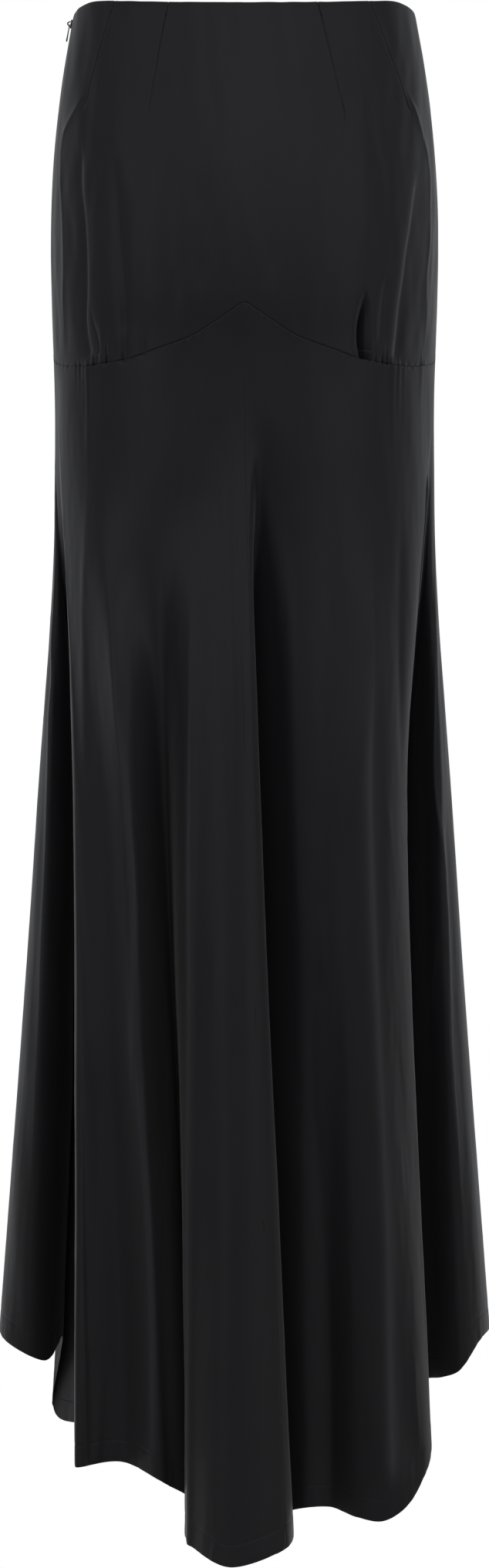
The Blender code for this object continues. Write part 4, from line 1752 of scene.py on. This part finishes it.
    def coil(self) -> Object:
        """The closed coil, a helix down the tape's inner side.

        Returns:
            The coil's object.
        """
        bm = bmesh.new()
        start = float(self.body.waist_depth(self.turn)) + self.tape_inset + self.coil_start
        laps = int((self.end - self.coil_stop - start) / self.coil_pitch / self.coil_run)
        circle = bmesh.ops.create_circle(bm, segments=self.coil_wire_sides, radius=self.coil_wire)
        ring = circle["verts"]
        bmesh.ops.rotate(bm, verts=ring, matrix=Matrix.Rotation(math.pi / 2.0, 3, "X"))
        bmesh.ops.translate(bm, verts=ring, vec=(self.coil_radius, 0.0, 0.0))
        bmesh.ops.spin(
            bm,
            geom=[*bm.verts[:], *bm.edges[:]],
            cent=(0.0, 0.0, 0.0),
            axis=(0.0, 0.0, 1.0),
            dvec=(0.0, 0.0, -self.coil_pitch / self.coil_steps),
            angle=2.0 * math.pi * self.coil_run,
            steps=self.coil_steps * self.coil_run,
        )
        lap = [*bm.verts[:], *bm.edges[:], *bm.faces[:]]
        for number in range(1, laps):
            copied = bmesh.ops.duplicate(bm, geom=lap)["geom"]
            moved = [item for item in copied if isinstance(item, bmesh.types.BMVert)]
            drop = -number * self.coil_run * self.coil_pitch
            bmesh.ops.translate(bm, verts=moved, vec=(0.0, 0.0, drop))
        bmesh.ops.remove_doubles(bm, verts=bm.verts[:], dist=self.coil_weld)
        close_rims(bm)
        places = np.array([tuple(vert.co) for vert in bm.verts])
        inside = self.tape_depth + self.tape_thickness + self.coil_radius * self.coil_flatness
        lower = start - places[:, 2]
        here = self.body.point(np.full_like(lower, self.turn), lower)
        here[:, 0] += inside - self.coil_flatness * places[:, 0]
        here[:, 1] += self.coil_breadth * places[:, 1]
        for vert, place in zip(bm.verts, here):
            vert.co = place
        return self.finished("zip_coil", bm, Matrix.Identity(4))

    def arch(self, bm: Shape) -> None:
        """Add the wire arch to the slider's plate.

        Args:
            bm: the plate's shape.
        """
        plate = set(bm.verts)
        circle = bmesh.ops.create_circle(bm, segments=self.arch_wire_sides, radius=self.arch_wire)
        ring = circle["verts"]
        edges = list({edge for vert in ring for edge in vert.link_edges})
        half = 0.5 * self.arch_height - self.arch_wire
        widened = 0.5 * self.arch_width / self.arch_wire
        for vert in ring:
            vert.co = Vector((0.0, -widened * vert.co.y, half - vert.co.x))
        bmesh.ops.spin(
            bm,
            geom=[*ring, *edges],
            cent=(0.0, 0.0, 0.0),
            axis=(0.0, 1.0, 0.0),
            angle=math.pi,
            steps=self.arch_steps,
        )
        middle = 0.5 * self.plate[0]
        reach = self.arch_reach + middle - self.arch_wire
        for vert in bm.verts:
            if vert not in plate:
                vert.co.x = middle + vert.co.x * (reach / half)
        close_rims(bm)

    def slider(self) -> Object:
        """The slider's plate with its wire arch.

        Returns:
            The slider's object.
        """
        bm = bmesh.new()
        thick, across, _ = self.plate
        bmesh.ops.create_cube(bm, size=1.0)
        bmesh.ops.scale(bm, verts=bm.verts[:], vec=self.plate)
        bmesh.ops.translate(bm, verts=bm.verts[:], vec=(0.5 * thick, 0.0, 0.0))
        corners = [edge for edge in bm.edges if edge.verts[0].co.x != edge.verts[1].co.x]
        round_edges(bm, corners, self.plate_corner * across, 5)
        round_edges(bm, sharp_edges(bm), self.plate_rim, 3)
        self.arch(bm)
        return self.finished("zip_slider_metal", bm, self.slider_place())

    def pull(self, hinge: Vector) -> Object:
        """The pull tab: a leaf with an eye round the arch and a thicker rounded end.

        Args:
            hinge: the middle of its bar.

        Returns:
            The tab's object.
        """
        bm = bmesh.new()
        rings = []
        low = 0.5 * self.pull_bar - self.pull_length + 0.5 * self.pull_width
        wide, tall = self.pull_eye
        middle = -0.5 * self.pull_bar - 0.5 * tall
        for outer in (True, False):
            circle = bmesh.ops.create_circle(bm, segments=self.pull_points, radius=1.0)["verts"]
            for vert in circle:
                across, up = vert.co.x, vert.co.y
                if outer:
                    vert.co = self.outline(across, up, low)
                else:
                    vert.co = Vector((0.0, 0.5 * wide * across, middle + 0.5 * tall * up))
            rings += list({edge for vert in circle for edge in vert.link_edges})
        bmesh.ops.bridge_loops(bm, edges=rings)
        extruded = bmesh.ops.extrude_face_region(bm, geom=bm.faces[:], use_keep_orig=True)["geom"]
        lifted = [item for item in extruded if isinstance(item, bmesh.types.BMVert)]
        for vert in bm.verts:
            share = min(1.0, max(0.0, -vert.co.z / self.pull_length))
            half = 0.5 * (self.pull_thickness + (self.pull_rim - self.pull_thickness) * share**2)
            vert.co.x = half if vert in lifted else -half
        bmesh.ops.recalc_face_normals(bm, faces=bm.faces[:])
        round_edges(bm, sharp_edges(bm), self.pull_edge, 3)
        place = self.slider_place()
        place.translation = hinge
        return self.finished("zip_pull_tab", bm, place)

    def outline(self, across: float, up: float, low: float) -> Vector:
        """A point of the tab's outer edge.

        Args:
            across: the cosine of its angle round the outline.
            up: the sine of it.
            low: the height of the rounded end's centre.

        Returns:
            The point, flat in the tab's plane.
        """
        radius = 0.5 * self.pull_width
        if up < 0.0:
            return Vector((0.0, radius * across, low + radius * up))
        square = max(abs(across), abs(up))
        across, up = across / square, up / square
        half = 0.5 * (self.pull_width + (self.pull_top - self.pull_width) * up)
        return Vector((0.0, half * across, low + (0.5 * self.pull_bar - low) * up))


# ---- finishes
Colour = tuple[float, float, float]
Fed = Socket | float | tuple[float, ...]  # what an input may be given
Inputs = dict[str | int, Fed]  # by the input's name or number

THREAD_HEIGHT = 0.35  # of the crepe's threads, against its pebbles


class Group(Enum):
    """The shared effects."""

    CREPE = "Crepe weave"
    BLOTCH = "Uneven dye"


def feed(tree: Nodes, node: Node, inputs: Inputs) -> Node:
    """Give a node what goes into it.

    Args:
        tree: the nodes that it is among.
        node: the node.
        inputs: other nodes' outputs and values.

    Returns:
        The node.
    """
    for name, value in inputs.items():
        if isinstance(value, Socket):
            tree.links.new(value, node.inputs[name])
        else:
            node.inputs[name].default_value = value
    return node


def add(tree: Nodes, kind: str, inputs: Inputs, **settings: str | bool | Nodes) -> Node:
    """Add a node.

    Args:
        tree: the nodes to add it to.
        kind: its type, without the words that every type starts with.
        inputs: what goes into it.
        settings: its own settings.

    Returns:
        The node.
    """
    node = tree.nodes.new(f"ShaderNode{kind}")
    for name, value in settings.items():
        setattr(node, name, value)
    return feed(tree, node, inputs)


def started(name: str) -> tuple[Material, Nodes, Node]:
    """A new material.

    Args:
        name: the material's name.

    Returns:
        The material, its nodes and its shader.
    """
    material = bpy.data.materials.new(name)
    material.use_nodes = True
    return material, material.node_tree, material.node_tree.nodes["Principled BSDF"]


def sockets(group: Nodes, inputs: dict[str, float], output: str) -> tuple[Node, Node]:
    """Make a group's sockets.

    Args:
        group: the node group.
        inputs: its number inputs with their first values; a vector input comes before them.
        output: its number output.

    Returns:
        The group's input and output nodes.
    """
    group.interface.new_socket("Vector", in_out="INPUT", socket_type="NodeSocketVector")
    for name, value in inputs.items():
        socket = group.interface.new_socket(name, in_out="INPUT", socket_type="NodeSocketFloat")
        socket.default_value = value
    group.interface.new_socket(output, in_out="OUTPUT", socket_type="NodeSocketFloat")
    return group.nodes.new("NodeGroupInput"), group.nodes.new("NodeGroupOutput")


class Effects:
    """Builds each shared effect's node group once and places it in materials."""

    def __init__(self) -> None:
        """Start with no group built."""
        self.built: dict[Group, Nodes] = {}

    def crepe(self, tree: Nodes) -> None:
        """Fine crossing threads with an uneven, pebbled relief, as height.

        Args:
            tree: the group's nodes.
        """
        ends, out = sockets(tree, {"Threads": 2600.0, "Pebble": 1500.0}, "Height")
        vector, threads = ends.outputs["Vector"], ends.outputs["Threads"]
        apart = add(tree, "SeparateXYZ", {"Vector": vector})
        waves = {}
        for number, axis in enumerate("XY"):
            scaled = add(tree, "Math", {0: apart.outputs[axis], 1: threads}, operation="MULTIPLY")
            wave = add(tree, "Math", {0: scaled.outputs[0]}, operation="SINE")
            waves[number] = wave.outputs[0]
        both = add(tree, "Math", waves, operation="MULTIPLY").outputs[0]
        pebble = {"Vector": vector, "Scale": ends.outputs["Pebble"], "Detail": 2.0}
        noise = add(tree, "TexNoise", pebble).outputs["Fac"]
        total = {0: both, 1: THREAD_HEIGHT, 2: noise}
        height = add(tree, "Math", total, operation="MULTIPLY_ADD")
        feed(tree, out, {"Height": height.outputs[0]})

    def blotch(self, tree: Nodes) -> None:
        """Soft uneven patches, from 0 to 1.

        Args:
            tree: the group's nodes.
        """
        ends, out = sockets(tree, {"Size": 9.0, "Contrast": 0.5}, "Mask")
        patches = {"Vector": ends.outputs["Vector"], "Scale": ends.outputs["Size"]}
        noise = add(tree, "TexNoise", {**patches, "Detail": 3.0, "Roughness": 0.55})
        centred = add(tree, "Math", {0: noise.outputs["Fac"], 1: 0.5}, operation="SUBTRACT")
        spread = {0: centred.outputs[0], 1: ends.outputs["Contrast"], 2: 0.5}
        mask = add(tree, "Math", spread, operation="MULTIPLY_ADD", use_clamp=True)
        feed(tree, out, {"Mask": mask.outputs[0]})

    def place(self, tree: Nodes, kind: Group, inputs: Inputs) -> Socket:
        """Put an effect in a material.

        Args:
            tree: the material's nodes.
            kind: which effect.
            inputs: what goes into it.

        Returns:
            What comes out of it.
        """
        if kind not in self.built:
            group = bpy.data.node_groups.new(kind.value, "ShaderNodeTree")
            (self.crepe if kind is Group.CREPE else self.blotch)(group)
            self.built[kind] = group
        return add(tree, "Group", inputs, node_tree=self.built[kind]).outputs[0]


@dataclass(frozen=True)
class ClothFinish:
    """A woven cloth's finish."""

    name: str
    high: Colour  # near the waist
    low: Colour  # near the hem
    roughness: tuple[float, float]
    specular: float
    sheen: float
    sheen_roughness: float
    relief: float  # how deep the weave is, in metres
    crest_highlight: Colour  # the colour of the painted highlight along crests
    low_depth: float = 1.2  # where the low colour is reached
    unevenness: float = 0.25  # how much the dye's patches darken it
    threads: float = 2600.0
    pebble: float = 1500.0
    contrast: float = 0.8

    def made(self, effects: Effects) -> Material:
        """Build the material.

        Args:
            effects: the shared effects.

        Returns:
            The material.
        """
        material, tree, shader = started(self.name)
        vector = add(tree, "UVMap", {}, uv_map=GRAIN).outputs["UV"]
        threads = {"Threads": self.threads, "Pebble": self.pebble, "Vector": vector}
        weave = effects.place(tree, Group.CREPE, threads)
        bump = add(tree, "Bump", {"Strength": 1.0, "Distance": self.relief, "Height": weave})
        blotch = effects.place(tree, Group.BLOTCH, {"Contrast": self.contrast, "Vector": vector})
        # the colour shifts from a bluish tint near the waist to a warmer one near the hem
        down = add(tree, "SeparateXYZ", {"Vector": vector}).outputs["Y"]
        share = add(tree, "MapRange", {"Value": down, "From Max": self.low_depth})
        ends = {"Factor": share.outputs["Result"], "A": (*self.high, 1.0), "B": (*self.low, 1.0)}
        waist_to_hem_tint = add(tree, "Mix", ends, data_type="RGBA").outputs["Result"]
        patches = {"Factor": self.unevenness, "A": waist_to_hem_tint, "B": blotch}
        uneven = add(tree, "Mix", patches, data_type="RGBA", blend_type="MULTIPLY")
        # painted highlight: the colour is mixed towards the highlight colour where the cloth's
        # highlight share is high
        painted_highlight = add(tree, "Attribute", {}, attribute_name=PAINTED_HIGHLIGHT).outputs["Fac"]
        folds = {"Factor": painted_highlight, "A": uneven.outputs["Result"], "B": (*self.crest_highlight, 1.0)}
        low, high = self.roughness
        rough = add(tree, "MapRange", {"Value": blotch, "To Min": low, "To Max": high})
        looks = {
            "Base Color": add(tree, "Mix", folds, data_type="RGBA").outputs["Result"],
            "Roughness": rough.outputs["Result"],
            "Normal": bump.outputs["Normal"],
            "Specular IOR Level": self.specular,
            "Sheen Weight": self.sheen,
            "Sheen Roughness": self.sheen_roughness,
            "Sheen Tint": (1.0, 1.0, 1.0, 1.0),
        }
        feed(tree, shader, looks)
        return material


@dataclass(frozen=True)
class MetalFinish:
    """A lacquered metal's finish."""

    name: str
    colour: Colour
    roughness: tuple[float, float]
    coat: float
    coat_roughness: float = 0.15
    metallic: float = 0.6
    patches: float = 900.0
    contrast: float = 1.6

    def made(self, effects: Effects) -> Material:
        """Build the material.

        Args:
            effects: the shared effects.

        Returns:
            The material.
        """
        material, tree, shader = started(self.name)
        where = add(tree, "TexCoord", {}).outputs["Object"]
        patches = {"Size": self.patches, "Contrast": self.contrast, "Vector": where}
        blotch = effects.place(tree, Group.BLOTCH, patches)
        low, high = self.roughness
        rough = add(tree, "MapRange", {"Value": blotch, "To Min": low, "To Max": high})
        looks = {
            "Base Color": (*self.colour, 1.0),
            "Roughness": rough.outputs["Result"],
            "Metallic": self.metallic,
            "Coat Weight": self.coat,
            "Coat Roughness": self.coat_roughness,
        }
        feed(tree, shader, looks)
        return material


SATIN = ClothFinish(
    name="black_satin_crepe",
    high=(0.0128, 0.0128, 0.0158),
    low=(0.0134, 0.0131, 0.0148),
    roughness=(0.44, 0.52),
    specular=0.13,
    sheen=0.10,
    sheen_roughness=0.45,
    relief=0.00002,
    # the painted highlight's colour along thin crests
    crest_highlight=(0.115, 0.115, 0.125),
)
TAPE = ClothFinish(
    name="black_zip_tape",
    high=(0.0100, 0.0100, 0.0110),
    low=(0.0100, 0.0100, 0.0110),
    roughness=(0.70, 0.80),
    specular=0.20,
    sheen=0.05,
    sheen_roughness=0.5,
    relief=0.00005,
    crest_highlight=(0.020, 0.020, 0.021),
    threads=5200.0,
)
COIL = MetalFinish("black_coil", (0.010, 0.010, 0.011), (0.35, 0.5), 0.0)
LACQUER = MetalFinish("black_lacquered_metal", (0.018, 0.018, 0.020), (0.22, 0.38), 0.5)


# ---- the studio
@dataclass(frozen=True)
class Softbox:
    """A large soft light that faces the skirt's middle."""

    name: str
    place: tuple[float, float, float]
    size: tuple[float, float]  # its width and height
    power: float  # in watts


@dataclass
class Studio:
    """A white studio: the camera, the lights and a pale round floor, below what the camera sees."""

    camera_distance: float = 4.0
    camera_height: float = -0.6766
    camera_range: float = 100.0
    sensor: float = 36.0
    lens: float = 104.11
    floor_height: float = -1.52
    floor_radius: float = 0.80
    floor_thickness: float = 0.02
    floor_colour: Colour = (0.88, 0.88, 0.88)
    floor_roughness: float = 0.9
    softboxes: tuple[Softbox, ...] = (
        Softbox("left_softbox", (-2.4, 0.7, -0.5), (1.6, 3.0), 3.0),
        Softbox("left_softbox_front", (-3.2, -2.9, 1.0), (2.2, 3.0), 46.0),
        Softbox("right_softbox", (2.4, 0.7, -0.5), (1.6, 3.0), 7.0),
        Softbox("right_softbox_front", (3.2, -2.9, 1.0), (2.2, 3.0), 46.0),
        Softbox("front_softbox", (0.2, -4.2, 2.4), (3.6, 3.0), 80.0),
    )
    aim_height: float = -0.65  # of the skirt's middle, which the lights face
    world_front: float = 0.12
    world_behind: float = 0.68
    world_turn: tuple[float, float] = (-0.1, 0.6)  # between which directions along Y it changes
    tint: Colour = (0.95, 0.97, 1.0)

    def make_camera(self) -> None:
        """The camera, level and square to the skirt's back."""
        data = bpy.data.cameras.new("camera")
        data.sensor_width = self.sensor
        data.lens = self.lens
        data.clip_end = self.camera_range
        camera = linked("camera", data)
        camera.location = (0.0, -self.camera_distance, self.camera_height)
        camera.rotation_euler = (math.pi / 2.0, 0.0, 0.0)
        bpy.context.scene.camera = camera

    def make_light(self, softbox: Softbox) -> None:
        """A large soft light.

        Args:
            softbox: its place, size and power.
        """
        data = bpy.data.lights.new(softbox.name, "AREA")
        data.shape = "RECTANGLE"
        data.size, data.size_y = softbox.size
        data.energy = softbox.power
        light = linked(softbox.name, data)
        light.location = softbox.place
        towards = Vector((0.0, 0.0, self.aim_height)) - Vector(softbox.place)
        light.rotation_euler = towards.to_track_quat("-Z", "Y").to_euler()
        light.visible_camera = False

    def make_world(self) -> None:
        """A world that looks white to the camera and lights the cloth softly."""
        world = bpy.data.worlds.new("studio")
        world.use_nodes = True
        bpy.context.scene.world = world
        tree = world.node_tree
        where = add(tree, "TexCoord", {}).outputs["Generated"]
        turn = {
            "Value": add(tree, "SeparateXYZ", {"Vector": where}).outputs["Y"],
            "From Min": self.world_turn[0],
            "From Max": self.world_turn[1],
            "To Min": self.world_front,
            "To Max": self.world_behind,
        }
        strength = add(tree, "MapRange", turn, interpolation_type="SMOOTHSTEP")
        soft = tree.nodes["Background"]
        feed(tree, soft, {"Color": (*self.tint, 1.0), "Strength": strength.outputs["Result"]})
        white = add(tree, "Background", {"Color": (1.0, 1.0, 1.0, 1.0), "Strength": 1.0})
        seen = add(tree, "LightPath", {}).outputs["Is Camera Ray"]
        chosen = add(tree, "MixShader", {0: seen, 1: soft.outputs[0], 2: white.outputs[0]})
        feed(tree, tree.nodes["World Output"], {"Surface": chosen.outputs[0]})

    def make_floor(self) -> None:
        """The pale floor, well below the hem."""
        bm = bmesh.new()
        bmesh.ops.create_cone(
            bm,
            cap_ends=True,
            segments=128,
            radius1=self.floor_radius,
            radius2=self.floor_radius,
            depth=self.floor_thickness,
        )
        middle = self.floor_height - 0.5 * self.floor_thickness
        bmesh.ops.translate(bm, verts=bm.verts[:], vec=(0.0, 0.0, middle))
        made = linked("floor", meshed("floor", bm))
        material, tree, shader = started("pale_floor")
        looks = {"Base Color": (*self.floor_colour, 1.0), "Roughness": self.floor_roughness}
        feed(tree, shader, looks)
        made.data.materials.append(material)

    def make(self) -> None:
        """Set up the camera, the lights and the floor."""
        bpy.context.scene.view_settings.view_transform = "Standard"
        self.make_camera()
        for softbox in self.softboxes:
            self.make_light(softbox)
        self.make_world()
        self.make_floor()


# ---- the whole scene
class Scene:
    """Puts the finished pieces in place of the plain ones."""

    def __init__(self) -> None:
        """Prepare the effects that the finishes share."""
        self.effects = Effects()

    def dress(self, piece: Object, finish: ClothFinish | MetalFinish) -> None:
        """Give a piece its finish."""
        piece.data.materials.append(self.finish(finish))

    def finish(self, finish: ClothFinish | MetalFinish) -> Material:
        """The finish's material, built once."""
        return bpy.data.materials.get(finish.name) or finish.made(self.effects)

    def cloth(self) -> None:
        """The five pieces of satin."""
        for node, piece in Skirt().make().items():
            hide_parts(node)
            self.dress(piece, SATIN)

    def zip(self) -> None:
        """The zip, its slider and its pull tab."""
        fastening = Zip(Body())
        tape, coil = fastening.tape(), fastening.coil()
        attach(tape, "skirt")
        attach(coil, "skirt")
        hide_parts("zip_tape")
        self.dress(tape, TAPE)
        self.dress(coil, COIL)
        slider = fastening.slider()
        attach(slider, "skirt")
        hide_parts("zip_slider")
        self.dress(slider, LACQUER)
        pull = fastening.pull(Vector(frame["joints"][0]["pos_m"]))
        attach(pull, "pull_tab")
        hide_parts("zip_pull")
        self.dress(pull, LACQUER)
        for piece in (tape, coil, slider, pull):
            LOG.info("%s: %d points", piece.name, len(piece.data.vertices))


def main() -> None:
    """Build the skirt, the zip and the studio."""
    logging.basicConfig(level=logging.INFO, format="%(name)s: %(message)s")
    Studio().make()
    scene = Scene()
    scene.cloth()
    scene.zip()


if __name__ == "__main__":
    main()
